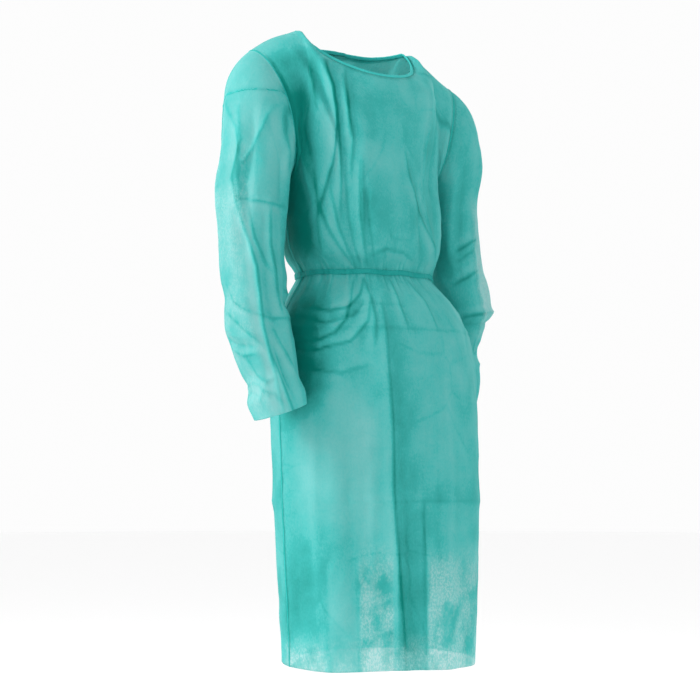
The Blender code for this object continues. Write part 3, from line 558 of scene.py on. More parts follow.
def smooth_through(knots, values, places):
    """Values at places of a smooth curve through knots, along the first axis."""
    slopes = np.gradient(values, knots, axis=0)
    index = np.clip(np.searchsorted(knots, places, side="right") - 1, 0, len(knots) - 2)
    shape = (-1,) + (1,) * (values.ndim - 1)
    span = (knots[index + 1] - knots[index]).reshape(shape)
    t = ((places - knots[index]) / (knots[index + 1] - knots[index])).reshape(shape)
    return ((2 * t ** 3 - 3 * t ** 2 + 1) * values[index] + (t ** 3 - 2 * t ** 2 + t) * span * slopes[index]
            + (3 * t ** 2 - 2 * t ** 3) * values[index + 1] + (t ** 3 - t ** 2) * span * slopes[index + 1])


def lengths_along(grid):
    """Mean length along the first axis up to each of its places."""
    steps = np.linalg.norm(np.diff(grid, axis=0), axis=2).mean(axis=1)
    return np.concatenate([[0.0], np.cumsum(steps)])


def refined(grid, rows, columns, closed=False):
    """The surface through a grid at a finer number of rows and columns, evenly spaced."""
    down = lengths_along(grid)
    grid = smooth_through(down, grid, np.linspace(0, down[-1], rows))
    across = grid.transpose(1, 0, 2)
    if not closed:
        round_it = lengths_along(across)
        return smooth_through(round_it, across, np.linspace(0, round_it[-1], columns)).transpose(1, 0, 2)
    lap = 4
    count = len(across)
    across = np.concatenate([across[-lap:], across, across[:lap + 1]])
    round_it = lengths_along(across)
    start, end = round_it[lap], round_it[lap + count]
    places = np.linspace(start, end, columns, endpoint=False)
    return smooth_through(round_it, across, places).transpose(1, 0, 2)


def settled(points):
    """Points after the cloth's broad puffs and slumps."""
    shift = np.zeros_like(points)
    for move in MOVES:
        gap = np.linalg.norm(points - np.array(move.middle), axis=-1, keepdims=True)
        shift += np.exp(-(gap / move.reach) ** 2) * np.array(move.shift)
    return points + shift


def grid_normals(grid, closed=False):
    """Outward normals of a grid whose rows run down or up and whose columns run round."""
    if closed:
        wide = np.concatenate([grid[:, -1:], grid, grid[:, :1]], axis=1)
        across = wide[:, 2:] - wide[:, :-2]
    else:
        across = np.gradient(grid, axis=1)
    normals = np.cross(across, np.gradient(grid, axis=0))
    return normals / (np.linalg.norm(normals, axis=2, keepdims=True) + 1e-12)


def outward_normals(grid):
    """A tube's normals, turned outwards, and whether they had to be turned."""
    normals = grid_normals(grid, closed=True)
    inward = np.sum(normals * (grid - grid.mean(axis=1, keepdims=True)), axis=2).mean() < 0
    return (-normals if inward else normals), inward


def body_centre(z):
    """The body's middle line, by height."""
    levels, x, y = zip(*CENTRES)
    return np.interp(z, levels, x), np.interp(z, levels, y)


def body_bearing(grid, start=0.0):
    """Degrees from the centre front, + to the left, running on past the centre back."""
    x, y = body_centre(grid[..., 2])
    bearing = np.degrees(np.arctan2(grid[..., 0] - x, y - grid[..., 1]))
    return (bearing - start + 180) % 360 - 180 + start


def bell(distance, width, power=2.0):
    """1 in the middle, falling away on both sides."""
    return np.exp(-(np.abs(distance) / width) ** power)


def turned_near(angle, middle):
    """Angles within half a turn of a middle."""
    return (angle - middle + 180.0) % 360.0 - 180.0 + middle


def crease_forms(creases, angle, z, per_degree, lit_side=-1):
    """How far the creases stand out at points given by angle and height, and the painted light and shade
    along them.
    """
    heights = np.zeros_like(angle)
    tones = np.zeros_like(angle)
    for crease in creases:
        points = np.array(crease.points)
        flat_x = turned_near(angle, points[:, 0].mean()) * per_degree
        nearest = np.full(angle.shape, 1e9)
        near = np.zeros(angle.shape, bool)
        lit = np.zeros(angle.shape, bool)
        run = np.zeros_like(angle)
        count = len(points) - 1
        for i in range(count):
            ax, az = points[i, 0] * per_degree, points[i, 1]
            dx, dz = points[i + 1, 0] * per_degree - ax, points[i + 1, 1] - az
            t = np.clip(((flat_x - ax) * dx + (z - az) * dz) / (dx * dx + dz * dz), 0, 1)
            gap = np.hypot(flat_x - ax - t * dx, z - az - t * dz)
            side = (flat_x - ax) * dz - (z - az) * dx
            closer = gap < nearest
            nearest = np.where(closer, gap, nearest)
            near = np.where(closer, side < 0, near)
            lit = np.where(closer, side * np.sign(dz) * lit_side > 0, lit)
            run = np.where(closer, (i + t) / count, run)
        width = np.where(near, crease.near_width, crease.far_width)
        strength = CREASE_END_SHARE + (1 - CREASE_END_SHARE) * np.sin(
            np.pi * np.clip(run, 0.0, 1.0)) ** CREASE_END_POWER
        heights += crease.height * strength * bell(nearest, width, FLANK_POWER)
        depth = strength * min(abs(crease.height) / FULL_HEIGHT, MOST_SHADE)
        ridge = crease.height > 0
        sharp = min(crease.near_width, crease.far_width) < SHARP_WIDTH
        # A dark line of painted shade along a sharp crease, else a band of painted shade in a soft trough
        if sharp:
            tones += LINE_SHADES["ridge" if ridge else "trough"] * depth * bell(nearest, LINE_WIDTH)
        elif not ridge:
            tones += TROUGH_SHADE * depth * bell(nearest, TROUGH_SHADE_WIDTH)
        # On a ridge, a painted highlight on the flank towards the light and painted shade on the other
        if ridge:
            tones += (np.where(lit, FLANK_LIGHT_AND_SHADE["lit"], FLANK_LIGHT_AND_SHADE["shaded"]) * depth
                      * bell(nearest - FLANK_MIDDLE, FLANK_WIDTH))
    return heights, tones


def zone_tones(zones, angle, z):
    """Broad parts of the cloth made paler or darker, zone by zone."""
    tones = np.zeros_like(angle)
    for zone in zones:
        off = (angle - zone.low + 90) % 360 - 90
        inside = ease(off / zone.low_soft) * ease((zone.high - zone.low - off) / zone.high_soft)
        level = ease((z - zone.bottom) / zone.soft_height) * ease((zone.top - z) / zone.soft_height)
        tones += zone.tone * inside * level
    return tones


def lattice_noise(u, v, seed, round_count=LATTICE):
    """Smooth noise from -1 to 1 with one feature per unit of u and v, which meets itself in u."""
    values = np.random.default_rng(seed).uniform(-1, 1, (round_count, LATTICE))
    iu, iv = np.floor(u).astype(int), np.floor(v).astype(int)
    tu, tv = ease(u - iu), ease(v - iv)

    def at(a, b):
        return values[(iu + a) % round_count, (iv + b) % LATTICE]

    low = at(0, 0) * (1 - tu) + at(1, 0) * tu
    high = at(0, 1) * (1 - tu) + at(1, 1) * tu
    return low * (1 - tv) + high * tv


def crinkle(turn, z, across, seed):
    """The crisp small dents of paper-like cloth, about -1 to 1, where across is the number of them round."""
    drift = DRIFT * lattice_noise(turn * across / 2, z / DRIFT_CELL, seed, across // 2)
    wide = lattice_noise(turn * across + drift + z * WIDE_LEAN, z / WIDE_CELL + drift, seed + 1, across)
    fine = lattice_noise(turn * across * 2.5 + z * FINE_LEAN, z / FINE_CELL + drift, seed + 2,
                         across * 5 // 2)
    return WIDE_SHARE * (1 - 2 * np.abs(wide)) + (1 - WIDE_SHARE) * (1 - 2 * np.abs(fine))


def body_shape(bearing, z):
    """How far the body's cloth stands off its smooth form, and its tone from -1, dark, to 1, pale, much of it
    painted light and shade.
    """
    looks = settings()
    scale = METRES_PER_DEGREE["body"]
    creases, tones = crease_forms(BODY_CREASES, bearing, z, scale)
    creases *= looks.crease_depth
    below = BELT_LEVEL - z
    for gather in GATHERS:
        off = (turned_near(bearing, gather.bearing) - gather.bearing) * scale
        level = 1 - ease(np.abs(below) / np.where(below > 0, gather.below, gather.above))
        creases += gather.height * level * bell(off, GATHER_WIDTH)
        # A line of painted shade beside each gather and a painted highlight on it
        tones += level * (GATHER_SHADE * bell(off - GATHER_SHADE_PLACE, GATHER_SHADE_WIDTH)
                          + GATHER_HIGHLIGHT * bell(off, GATHER_SHADE_WIDTH))
    small = crinkle(bearing / 360, z, BODY_CRINKLES, CRINKLE_SEEDS["front"])
    near_belt = np.abs(below)
    pressed = PRESSED_SHARE + (1 - PRESSED_SHARE) * ease(near_belt / PRESSED_REACH)
    heights = creases * pressed + looks.crinkle * small * ease(near_belt / SMOOTH_REACH)
    # The zones' painted light and shade, the crinkle's tone, and a band of painted shadow along the tie
    tones += (zone_tones(BODY_ZONES, bearing, z) + CRINKLE_TONE * small
              + BELT_SHADE * bell(near_belt, BELT_SHADE_REACH))
    return heights, tones


def edge_distance(grid, sides):
    """Distance along the cloth to its sewn sides: any of start, end, top, bottom."""
    down = np.concatenate([np.zeros((1, grid.shape[1])),
                           np.cumsum(np.linalg.norm(np.diff(grid, axis=0), axis=2), axis=0)])
    across = np.concatenate([np.zeros((grid.shape[0], 1)),
                             np.cumsum(np.linalg.norm(np.diff(grid, axis=1), axis=2), axis=1)], axis=1)
    gaps = {"bottom": down, "top": down[-1:] - down, "start": across, "end": across[:, -1:] - across}
    return np.minimum.reduce([gaps[side] for side in sides])


# Objects

def mesh_from_grid(name, grid, closed=False, **attributes):
    """An open sheet, or a tube, of quads through a grid, with a map in metres and its faces outwards."""
    rows, columns = grid.shape[:2]
    index = np.arange(rows * columns).reshape(rows, columns)
    across, down = lengths_along(grid.transpose(1, 0, 2)), lengths_along(grid)
    if closed:
        index = np.concatenate([index, index[:, :1]], axis=1)
        across = np.append(across, across[-1] + across[1])

    def corners(values):
        """Each face's four values, from those of the rows and columns."""
        around = (values[:-1, :-1], values[:-1, 1:], values[1:, 1:], values[1:, :-1])
        return np.stack([part.ravel() for part in around], axis=1)

    mesh = bpy.data.meshes.new(name)
    mesh.from_pydata(grid.reshape(-1, 3).tolist(), [], corners(index).tolist())
    u, v = np.meshgrid(across, down)
    places = np.stack([corners(u).ravel(), corners(v).ravel()], axis=1)
    mesh.uv_layers.new(name="cloth").data.foreach_set("uv", places.ravel())
    for title, values in attributes.items():
        layer = mesh.attributes.new(title, "FLOAT", "POINT")
        layer.data.foreach_set("value", np.asarray(values, dtype=np.float32).ravel())
    mesh.shade_smooth()
    return mesh


def selected_object(name, mesh):
    """A new object of the scene, the only one selected."""
    piece = bpy.data.objects.new(name, mesh)
    bpy.context.scene.collection.objects.link(piece)
    bpy.ops.object.select_all(action="DESELECT")
    bpy.context.view_layer.objects.active = piece
    piece.select_set(True)
    return piece


def add_piece(name, mesh, material, wall, offset=-1.0):
    """A piece with a wall, its finish and its body."""
    piece = selected_object(name, mesh)
    mesh.materials.append(material)
    shell = piece.modifiers.new("Wall", "SOLIDIFY")
    shell.thickness = wall
    shell.offset = offset
    bpy.ops.object.modifier_apply(modifier=shell.name)
    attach(piece, "root")
    return piece


# Shader maths

class Value:
    """A number that changes over a surface, for use in plain expressions."""

    def __init__(self, shader, socket):
        self.shader = shader
        self.socket = socket

    def maths(self, operation, *values):
        return self.shader.node("ShaderNodeMath", *values, operation=operation)

    def __add__(self, other):
        return self.maths("ADD", self, other)

    def __sub__(self, other):
        return self.maths("SUBTRACT", self, other)

    def __rsub__(self, other):
        return self.maths("SUBTRACT", other, self)

    def __mul__(self, other):
        return self.maths("MULTIPLY", self, other)

    __radd__ = __add__
    __rmul__ = __mul__

    def clamped(self):
        return self.shader.node("ShaderNodeMath", self, 0.0, operation="ADD", use_clamp=True)

    def between(self, low, high):
        """0 below low and 1 above high, with a soft step."""
        return self.shader.node("ShaderNodeMapRange", self, low, high, interpolation_type="SMOOTHSTEP")


class Finish:
    """A material being made."""

    def __init__(self, name):
        self.material = bpy.data.materials.new(name)
        self.material.use_nodes = True
        self.tree = self.material.node_tree
        self.tree.nodes.clear()
        self.output = self.tree.nodes.new("ShaderNodeOutputMaterial")

    def node(self, kind, *values, out=0, named=None, **options):
        """Adds a node with its options, then sets or links its sockets in order or by name."""
        made = self.tree.nodes.new(kind)
        for key, value in options.items():
            setattr(made, key, value)
        pairs = list(zip([socket for socket in made.inputs if socket.enabled], values))
        pairs += [(made.inputs[key], value) for key, value in (named or {}).items()]
        for socket, value in pairs:
            if isinstance(value, Value):
                self.tree.links.new(value.socket, socket)
            elif value is not None:
                socket.default_value = value
        if isinstance(out, str):
            return Value(self, made.outputs[out])
        return Value(self, [socket for socket in made.outputs if socket.enabled][out])

    def blend(self, share, low, high):
        """A mix of two colours."""
        return self.node("ShaderNodeMix", share, low, high, data_type="RGBA")

    def noise(self, place, scale, detail=2.0, roughness=0.5, distortion=0.0, out=0, flat=False):
        """Flat noise is for places on a map, and the other kind for places in space."""
        return self.node("ShaderNodeTexNoise", out=out, noise_dimensions="2D" if flat else "3D", named={
            "Vector": place, "Scale": scale, "Detail": detail, "Roughness": roughness,
            "Distortion": distortion})

    def cracks(self, place, scale):
        """1 on the thin lines between a map's uneven cells, 0 elsewhere."""
        edge = self.node("ShaderNodeTexVoronoi", out="Distance", feature="DISTANCE_TO_EDGE",
                         voronoi_dimensions="2D", named={"Vector": place, "Scale": scale, "Randomness": 1.0})
        return 1.0 - edge.between(*CRACK_EDGE)

    def attribute(self, name):
        return self.node("ShaderNodeAttribute", attribute_name=name, out="Fac")

    def finished(self, surface):
        self.tree.links.new(surface.socket, self.output.inputs["Surface"])
        return self.material


def colour4(colour):
    return (*colour, 1.0)


# The cloth's patterns, in features per metre, with how the light passes through it
CRACK_EDGE = (0.004, 0.045)
CLOUDS, FIBRES, BROAD, BEND = 30.0, 310.0, 8.0, 7.0
VEINS, SMALL_VEINS = 8.0, 21.0
BEND_REACH = 0.07
STRETCH = (1.0, 0.6, 1.0)
BAND_EDGE = (0.0045, 0.0080)      # of the dense band along a sewn edge, in metres from it
CRISP_EDGE = (0.0004, 0.0020)
SHEEN_TINT = (0.45, 0.95, 0.90, 1.0)
THROUGH_COLOUR = (0.05, 0.66, 0.63, 1.0)
THROUGH_SHARE = 0.28


def cloth_finish(name, streak_angle=0.0):
    """Spunbond cloth: fibre clouds, loose fibres, a faint net of veins, painted light and shade from the
    tone, and light that passes through.
    """
    looks = settings()
    finish = Finish(name)
    place = finish.node("ShaderNodeUVMap", uv_map="cloth")
    seam, tone, thin = (finish.attribute(title) for title in ("seam", "tone", "thin"))
    turned = finish.node("ShaderNodeMapping", place, (0, 0, 0), (0, 0, streak_angle), STRETCH)
    clouds = finish.noise(turned, CLOUDS, 4.0, 0.62, flat=True)
    fibres = finish.noise(turned, FIBRES, 4.0, 0.78, flat=True)
    broad = finish.noise(place, BROAD, 4.0, 0.62, flat=True)
    bend = finish.noise(place, BEND, 1.0, 0.5, out="Color", flat=True)
    bent = finish.node("ShaderNodeVectorMath", bend, (BEND_REACH, BEND_REACH, 0.0), place,
                       operation="MULTIPLY_ADD")
    veins = finish.cracks(bent, VEINS) * broad.between(0.44, 0.60)
    small_veins = finish.cracks(bent, SMALL_VEINS) * clouds.between(0.50, 0.66)
    # The tone attribute brings the painted light and shade; the noises are the cloth's own mottle
    level = (tone + (broad - 0.5) * 1.25 + (clouds - 0.5) * 0.50 + (fibres - 0.5) * 0.95
             - veins * 0.20 - small_veins * 0.12)
    band = 1.0 - seam.between(*BAND_EDGE)
    crisp = 1.0 - seam.between(*CRISP_EDGE)
    # The paler mix takes in the painted highlights, the darker mix the painted shade as well as the seams'
    # dense band
    pale = (level * 0.60 + 0.10 + thin * clouds.between(0.36, 0.66) * 0.35).clamped()
    dense_and_shade = (band * 0.40 + crisp * 0.35 - level * 0.85).clamped()
    loose = 0.25 + fibres.between(0.43, 0.62) * 0.75
    white = thin * (clouds * 0.5 + broad * 0.5).between(0.38, 0.60) * loose
    base = finish.blend(pale, colour4(looks.cloth_colour), colour4(looks.pale_and_highlight_colour))
    base = finish.blend(dense_and_shade, base, colour4(looks.dense_and_shade_colour))
    base = finish.blend(white, base, colour4(looks.fibre_colour))
    bump = finish.node("ShaderNodeBump", named={"Strength": 0.40, "Distance": 0.0006, "Height": clouds})
    alpha = (looks.density + dense_and_shade * 0.20 + band * 0.08 - pale * 0.08 - thin * 0.22).clamped()
    solid = finish.node("ShaderNodeBsdfPrincipled", named={
        "Base Color": base, "Roughness": 0.46 + clouds * 0.16, "Metallic": 0.0, "IOR": 1.45,
        "Specular IOR Level": 0.10, "Alpha": alpha, "Sheen Weight": 0.10, "Sheen Roughness": 0.45,
        "Sheen Tint": SHEEN_TINT, "Normal": bump})
    through = finish.node("ShaderNodeBsdfTranslucent", named={"Color": THROUGH_COLOUR, "Normal": bump})
    return finish.finished(finish.node("ShaderNodeMixShader", THROUGH_SHARE, solid, through))


def trim_finish(name, colour, mixed):
    """A strip of the same cloth in several layers, denser than one, with some of its usual colour."""
    finish = Finish(name)
    place = finish.node("ShaderNodeTexCoord", out="Object")
    streaks = finish.noise(place, 520.0, 4.0, 0.7, 0.8)
    broad = finish.noise(place, 40.0, 3.0, 0.5)
    share = (streaks * 0.6 + broad * 0.4).between(0.35, 0.72)
    base = finish.blend(share * mixed, colour4(colour), colour4(settings().cloth_colour))
    bump = finish.node("ShaderNodeBump", named={"Strength": 0.5, "Distance": 0.0005,
                                                "Height": streaks * 0.6 + broad})
    return finish.finished(finish.node("ShaderNodeBsdfPrincipled", named={
        "Base Color": base, "Roughness": 0.5 + streaks * 0.15, "Metallic": 0.0,
        "Specular IOR Level": 0.08, "Normal": bump}))


FINISHES = {}


def finish_named(name, make, *options):
    """Each finish is made once."""
    if name not in FINISHES:
        FINISHES[name] = make(name, *options)
    return FINISHES[name]


def tie_finish():
    return finish_named("gown_trim", trim_finish, settings().trim_colour, 0.25)


# Surfaces kept for the seams that lie on them
SURFACES = {}


def cloth_piece(node, grid, material, closed=False, **attributes):
    """A panel or a sleeve in place of its solid."""
    name = node + "_cloth"
    mesh = mesh_from_grid(name, grid, closed, **attributes)
    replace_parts(add_piece(name, mesh, material, settings().cloth_wall), node)


class GOWN_OT_body(bpy.types.Operator):
    """Makes the front and the two backs, with their creases"""
    bl_idname = "gown.body"
    bl_label = "Body Panels"

    def execute(self, context):
        material = finish_named("gown_cloth", cloth_finish)
        for name, panel in PANELS.items():
            coarse = sheet_rows(name, CLOTH_WALL, lambda point: point.z < HEM_TOP)
            if (coarse[0, -1, 0] - coarse[0, 0, 0]) * panel.way < 0:
                coarse = coarse[:, ::-1]
            grid = refined(coarse, panel.rows, panel.columns)
            z = grid[..., 2]
            bearing = body_bearing(grid, panel.bearing)
            heights, tones = body_shape(bearing, z)
            fade = ease(edge_distance(grid, ("top",)) / TOP_FADE)
            fade *= np.where(z > ARMHOLE_LEVEL, ease(edge_distance(grid, panel.sewn_sides) / SIDE_FADE), 1.0)
            seam = edge_distance(grid, ("top",) + panel.sewn_sides)
            grid = settled(grid + grid_normals(grid) * (heights * fade)[..., None])
            SURFACES[name] = grid
            cloth_piece(name, grid, material, seam=seam, tone=tones, thin=zone_tones(BODY_THIN, bearing, z))
        return {"FINISHED"}


class GOWN_OT_sleeves(bpy.types.Operator):
    """Makes the two sleeves, with their creases"""
    bl_idname = "gown.sleeves"
    bl_label = "Sleeves"

    def execute(self, context):
        looks = settings()
        material = finish_named("gown_sleeve_cloth", cloth_finish, SLEEVE_STREAK_ANGLE)
        for name, (columns, rows) in SLEEVES.items():
            side = 1 if name.endswith("left") else -1
            coarse = sheet_rows(name, CLOTH_WALL, lambda point: point.z > SLEEVE_TOP, closed=True)
            armpit = int(np.argmin(coarse[0, :, 2]))
            coarse = np.roll(coarse, -armpit, axis=1)
            if coarse[0, len(coarse[0]) // 4, 1] > 0:
                coarse = np.roll(coarse[:, ::-1], 1, axis=1)
            grid = refined(coarse, rows, columns, closed=True)
            z = grid[..., 2]
            angle = np.broadcast_to(np.arange(columns) * 360.0 / columns, grid.shape[:2])
            scale = METRES_PER_DEGREE["sleeve"]
            heights, tones = crease_forms(SLEEVE_CREASES[name], angle, z, scale, -side)
            small = crinkle(angle / 360, z, SLEEVE_CRINKLES, CRINKLE_SEEDS[name])
            heights = heights * looks.crease_depth + SLEEVE_CRINKLE_SHARE * looks.crinkle * small
            # The painted light and shade of the sleeve's zones
            tones += zone_tones(SLEEVE_ZONES[name], angle, z)
            thin = zone_tones(SLEEVE_THIN[name], angle, z)
            seam = edge_distance(grid, ("bottom",))
            normals, inward = outward_normals(grid)
            grid = settled(grid + normals * (heights * ease(seam / TOP_FADE))[..., None])
            if side < 0:
                end = 1 - ease(edge_distance(grid, ("top",)) / CUFF_REACH)
                tilt = np.cos(np.radians(angle - CUFF_FACING))
                grid[..., 2] += end * (CUFF_RISE * (1 + tilt) - CUFF_DROP * (1 - tilt)) / 2
            SURFACES[name] = grid
            order = slice(None, None, -1 if inward else 1)
            cloth_piece(name, grid[order], material, True, seam=seam[order], tone=tones[order],
                        thin=thin[order])
        return {"FINISHED"}


def mesh_vectors(collection, field, count):
    values = np.empty(count * 3)
    collection.foreach_get(field, values)
    return values.reshape(-1, 3)


def strip_piece(node, material, crumpling, number, swell=0.0, shift=None):
    """A tie or a binding on its solid's form: triangles paired, rounded, crumpled and shifted."""
    piece = selected_object(node + "_tape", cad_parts[node].data.copy())
    mesh = piece.data
    mesh.materials.clear()
    bpy.ops.object.mode_set(mode="EDIT")
    bpy.ops.mesh.select_all(action="SELECT")
    bpy.ops.mesh.remove_doubles(threshold=MERGE)
    bpy.ops.mesh.tris_convert_to_quads(face_threshold=math.radians(50), shape_threshold=math.radians(80))
    bpy.ops.object.mode_set(mode="OBJECT")
    for kind, levels in (("SIMPLE", 1), ("CATMULL_CLARK", STRIP_ROUNDING)):
        smooth = piece.modifiers.new("Rounding", "SUBSURF")
        smooth.subdivision_type = kind
        smooth.levels = smooth.render_levels = levels
        bpy.ops.object.modifier_apply(modifier=smooth.name)
    mesh = piece.data
    mesh.shade_smooth()
    mesh.materials.append(material)
    count = len(mesh.vertices)
    points = mesh_vectors(mesh.vertices, "co", count)
    normals = mesh_vectors(mesh.vertex_normals, "vector", count)
    points = crumple(points, normals, crumpling._replace(seed=crumpling.seed + number)) + normals * swell
    if shift:
        points = shift(points)
    mesh.vertices.foreach_set("co", settled(points).ravel())
    mesh.update()
    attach(piece, "root")
    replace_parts(piece, node)


def with_the_body(points, share=1.0):
    """Moves points that lie on the body's cloth out or in with its creases."""
    x, y = body_centre(points[:, 2])
    away = np.stack([points[:, 0] - x, points[:, 1] - y, np.zeros(len(points))], axis=1)
    away /= np.linalg.norm(away, axis=1, keepdims=True)
    heights, _ = body_shape(body_bearing(points), points[:, 2])
    return points + away * (heights * share)[:, None]


def crumple(points, normals, crumpling):
    """Small uneven dents on a strip, by its place in space, with finer ones on them."""
    x, y, z = (points / crumpling.size).T
    rough = lattice_noise(x + z * 0.7, y + 40, crumpling.seed)
    rough += 0.6 * lattice_noise(x * 2.3, (y + z) * 2.3 + 40, crumpling.seed + 1)
    return points + normals * (crumpling.height * rough)[:, None]


class GOWN_OT_bindings(bpy.types.Operator):
    """Makes the folded binding round the neck"""
    bl_idname = "gown.bindings"
    bl_label = "Neck Binding"

    def execute(self, context):
        material = finish_named("gown_binding", trim_finish, settings().binding_colour, 0.5)
        for number, node in enumerate(BINDINGS):
            strip_piece(node, material, BINDING_CRUMPLE, number, BINDING_SWELL)
        return {"FINISHED"}


def worn_tie(node, number):
    """How a tie's points shift with the cloth that it lies on."""
    def round_the_waist(points):
        points = with_the_body(points)
        x, y = body_centre(points[:, 2])
        wave = TIE_WAVE * np.sin(np.arctan2(points[:, 0] - x, y - points[:, 1]) * TIE_WAVES + number)
        points[:, 2] += wave * np.clip(np.abs(points[:, 1] - WAVE_STOP) / WAVE_STOP_REACH, 0, 1)
        return points

    def hanging(points):
        level, reach = LOOSE_FALLS[node.split("_")[0]]
        return with_the_body(points, ease((level - points[:, 2]) / reach))

    return round_the_waist if node in WAIST_TIES else hanging


class GOWN_OT_ties(bpy.types.Operator):
    """Makes the waist tie round the gown and the loose ends of both ties"""
    bl_idname = "gown.ties"
    bl_label = "Ties"

    def execute(self, context):
        for number, node in enumerate(WAIST_TIES + TIE_ENDS):
            strip_piece(node, tie_finish(), TIE_CRUMPLE, number, shift=worn_tie(node, number))
        return {"FINISHED"}


def unit(vectors):
    return vectors / np.linalg.norm(vectors, axis=-1, keepdims=True)


class GOWN_OT_knots(bpy.types.Operator):
    """Makes the knots of the neck ties and the waist ties from a folded tape"""
    bl_idname = "gown.knots"
    bl_label = "Knots"

    def execute(self, context):
        for node, phase in KNOTS.items():
            low, high = (np.array(corner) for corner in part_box(node))
            t = np.linspace(0, 2 * math.pi, KNOT_STEPS, endpoint=False) + phase
            path = np.stack([(np.sin(t) + 2 * np.sin(2 * t)) / 3, -np.sin(3 * t),
                             (np.cos(t) - 2 * np.cos(2 * t)) / 3], axis=1)
            path = path * ((high - low) / 2 - KNOT_TAPE * np.array(KNOT_ROOM))
            along = unit(np.roll(path, -1, axis=0) - np.roll(path, 1, axis=0))
            side = unit(np.cross(along, path * np.array(KNOT_LEAN) + np.array([0, KNOT_BACK, 0])))
            out = np.cross(side, along)
            grid = np.stack([path + side * share * KNOT_TAPE
                             + out * KNOT_TAPE * KNOT_CROWN * (1 - 4 * share ** 2) for share in STRIP_SHARES])
            mesh = mesh_from_grid(node + "_tape", settled(grid + (low + high) / 2), closed=True)
            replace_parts(add_piece(node + "_tape", mesh, tie_finish(), KNOT_WALL, 0.0), node)
        return {"FINISHED"}


def seam_tape(name, line, side, normal):
    """A welded seam: a narrow crowned strip along a line on the cloth."""
    line = np.array(line)
    for _ in range(SEAM_SMOOTHING):
        line[1:-1] = (line[:-2] + 2 * line[1:-1] + line[2:]) / 4
    grid = np.stack([line + side * share * SEAM_WIDTH
                     + normal * (SEAM_LIFT * (1 - (2 * share) ** 4) + SEAM_CLEARANCE)
                     for share in STRIP_SHARES])
    material = finish_named("gown_seam", trim_finish, settings().seam_colour, 0.5)
    return add_piece(name, mesh_from_grid(name, grid), material, SEAM_WALL)


def joined(ring):
    """A ring's points with the first once more at the end."""
    return np.concatenate([ring, ring[:1]])


class GOWN_OT_seams(bpy.types.Operator):
    """Makes the welded seams at the armholes and sides, and the level line on the near sleeve"""
    bl_idname = "gown.seams"
    bl_label = "Seams"

    def execute(self, context):
        for name in SLEEVES:
            grid = SURFACES[name]
            normals, _ = outward_normals(grid)
            seam_tape(name.replace("sleeve", "seam_armhole"), joined(grid[0]),
                      joined(unit(grid[1] - grid[0])), joined(normals[1]))
        grid = SURFACES["sleeve_right"]
        normals, _ = outward_normals(grid)
        columns = grid.shape[1]
        turns, levels = np.array(DROP_SEAM).T
        angles = np.arange(columns + 1) * 360.0 / columns
        wanted = np.interp(angles, np.concatenate([turns, turns[2:] + 360]),
                           np.concatenate([levels, levels[2:]]))
        line, side, out = [], [], []
        for column, level in enumerate(wanted):
            column %= columns
            row = min(max(int(np.argmin(np.abs(grid[:, column, 2] - level))), 1), len(grid) - 2)
            upper, lower = grid[row - 1, column], grid[row + 1, column]
            share = np.clip((upper[2] - level) / max(upper[2] - lower[2], 1e-6), 0, 1)
            line.append(upper + (lower - upper) * share)
            side.append(unit(lower - upper))
            out.append(normals[row, column])
        seam_tape("seam_drop_right", line, np.array(side), np.array(out))
        grid = SURFACES["front"]
        normals = grid_normals(grid)
        for name, column, inner in (("seam_side_right", 0, 1), ("seam_side_left", -1, -2)):
            rows = grid[:, column, 2] < ARMPIT_LEVEL
            seam_tape(name, grid[rows, column], unit((grid[:, inner] - grid[:, column])[rows]),
                      normals[rows, inner])
        return {"FINISHED"}


class GOWN_OT_cuts(bpy.types.Operator):
    """Does nothing; no sheet's flat cut or tapes are stated"""
    bl_idname = "gown.cuts"
    bl_label = "Cuts"

    def execute(self, context):
        return {"FINISHED"}


# The lamps, from the gown's middle: to the camera's right, towards the camera, and up
Lamp = namedtuple("Lamp", "right towards up size share")
LAMPS = {"key": Lamp(-2.5, 0.9, 1.3, 1.3, 1.0), "rim": Lamp(2.0, -1.6, 1.2, 1.4, 0.12)}
MIDDLE = Vector((0, 0, -0.5))
UP = Vector((0, 0, 1))
FLOOR_RADIUS = 14.0
BOUNCES = {"transparent_max_bounces": 12, "max_bounces": 5, "diffuse_bounces": 3, "glossy_bounces": 2,
           "transmission_bounces": 4}


def stand_facing(name, data, place, look):
    """A lamp or a camera at a place, turned to look along a direction."""
    made = bpy.data.objects.new(name, data)
    made.location = place
    made.rotation_euler = look.to_track_quat("-Z", "Y").to_euler()
    bpy.context.scene.collection.objects.link(made)
    return made


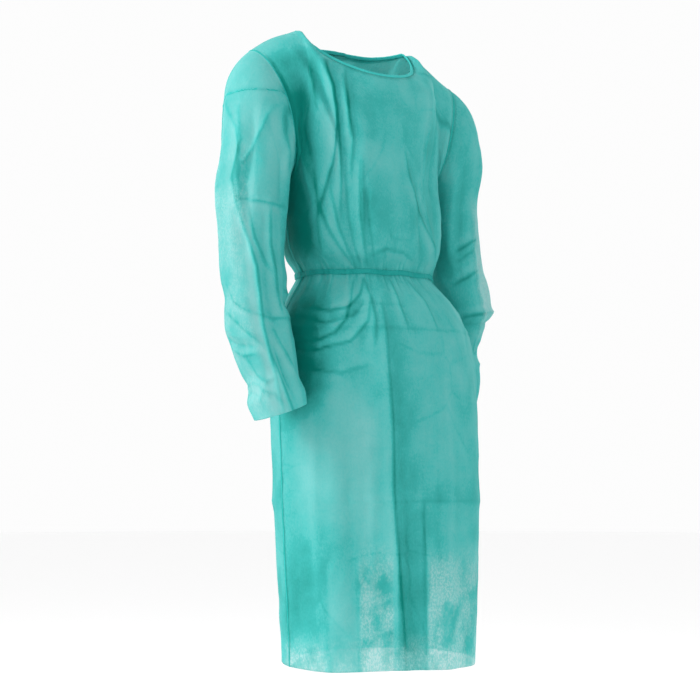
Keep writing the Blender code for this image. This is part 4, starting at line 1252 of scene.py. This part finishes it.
class GOWN_OT_stage(bpy.types.Operator):
    """Makes the floor, the lights, the surround and the camera"""
    bl_idname = "gown.stage"
    bl_label = "Stage"

    def execute(self, context):
        scene, studio = context.scene, context.scene.gown_studio
        bpy.ops.object.select_all(action="DESELECT")
        bpy.ops.mesh.primitive_circle_add(vertices=96, radius=FLOOR_RADIUS, fill_type="NGON",
                                          location=(0, 0, studio.floor_height))
        floor = context.object
        floor.name = "studio_floor"
        finish = Finish("studio_floor")
        grain = finish.noise(finish.node("ShaderNodeTexCoord", out="Object"), 3.0, 4.0)
        tone = finish.blend(grain * 0.05, colour4(studio.floor_colour), (1.0, 1.0, 1.0, 1.0))
        floor.data.materials.append(finish.finished(finish.node("ShaderNodeBsdfPrincipled", named={
            "Base Color": tone, "Roughness": 0.8, "Specular IOR Level": 0.1})))

        scene.world = bpy.data.worlds.new("surround")
        scene.world.use_nodes = True
        background = scene.world.node_tree.nodes["Background"]
        background.inputs["Color"].default_value = (1.0, 1.0, 1.0, 1.0)
        background.inputs["Strength"].default_value = studio.surround

        towards = Vector((math.sin(studio.azimuth), -math.cos(studio.azimuth), 0))
        right = Vector((math.cos(studio.azimuth), math.sin(studio.azimuth), 0))
        for name, lamp in LAMPS.items():
            light = bpy.data.lights.new(name, "AREA")
            light.size = lamp.size
            light.energy = studio.key * lamp.share
            place = MIDDLE + right * lamp.right + towards * lamp.towards + UP * lamp.up
            stand_facing(name, light, place, MIDDLE - place)
        camera = bpy.data.cameras.new("camera")
        camera.lens = studio.lens
        camera.sensor_width = 36.0
        place = towards * studio.distance + UP * studio.camera_height
        look = (-towards - right * studio.pan) * math.cos(studio.pitch) + UP * math.sin(studio.pitch)
        scene.camera = stand_facing("camera", camera, place, look)
        scene.view_settings.view_transform = "Standard"
        for name, count in BOUNCES.items():
            setattr(scene.cycles, name, count)
        return {"FINISHED"}


class GOWN_PT_panel(bpy.types.Panel):
    """The gown's sizes, colours and pieces"""
    bl_label = "Isolation Gown"
    bl_idname = "GOWN_PT_panel"
    bl_space_type = "VIEW_3D"
    bl_region_type = "UI"
    bl_category = "Gown"

    def draw(self, context):
        for group in (context.scene.gown, context.scene.gown_studio):
            box = self.layout.box()
            for name in group.__annotations__:
                box.prop(group, name)
        for operator in OPERATORS:
            self.layout.operator(operator.bl_idname)


OPERATORS = (GOWN_OT_stage, GOWN_OT_body, GOWN_OT_sleeves, GOWN_OT_bindings, GOWN_OT_ties, GOWN_OT_knots,
             GOWN_OT_seams, GOWN_OT_cuts)
CLASSES = (GownSettings, StudioSettings) + OPERATORS + (GOWN_PT_panel,)


def register():
    for made in CLASSES:
        bpy.utils.register_class(made)
    bpy.types.Scene.gown = bpy.props.PointerProperty(type=GownSettings)
    bpy.types.Scene.gown_studio = bpy.props.PointerProperty(type=StudioSettings)


def unregister():
    del bpy.types.Scene.gown_studio
    del bpy.types.Scene.gown
    for made in reversed(CLASSES):
        bpy.utils.unregister_class(made)


def main():
    register()
    bpy.ops.gown.stage()
    bpy.ops.gown.body()
    bpy.ops.gown.sleeves()
    bpy.ops.gown.bindings()
    bpy.ops.gown.ties()
    bpy.ops.gown.knots()
    bpy.ops.gown.seams()
    bpy.ops.gown.cuts()


if __name__ == "__main__":
    main()
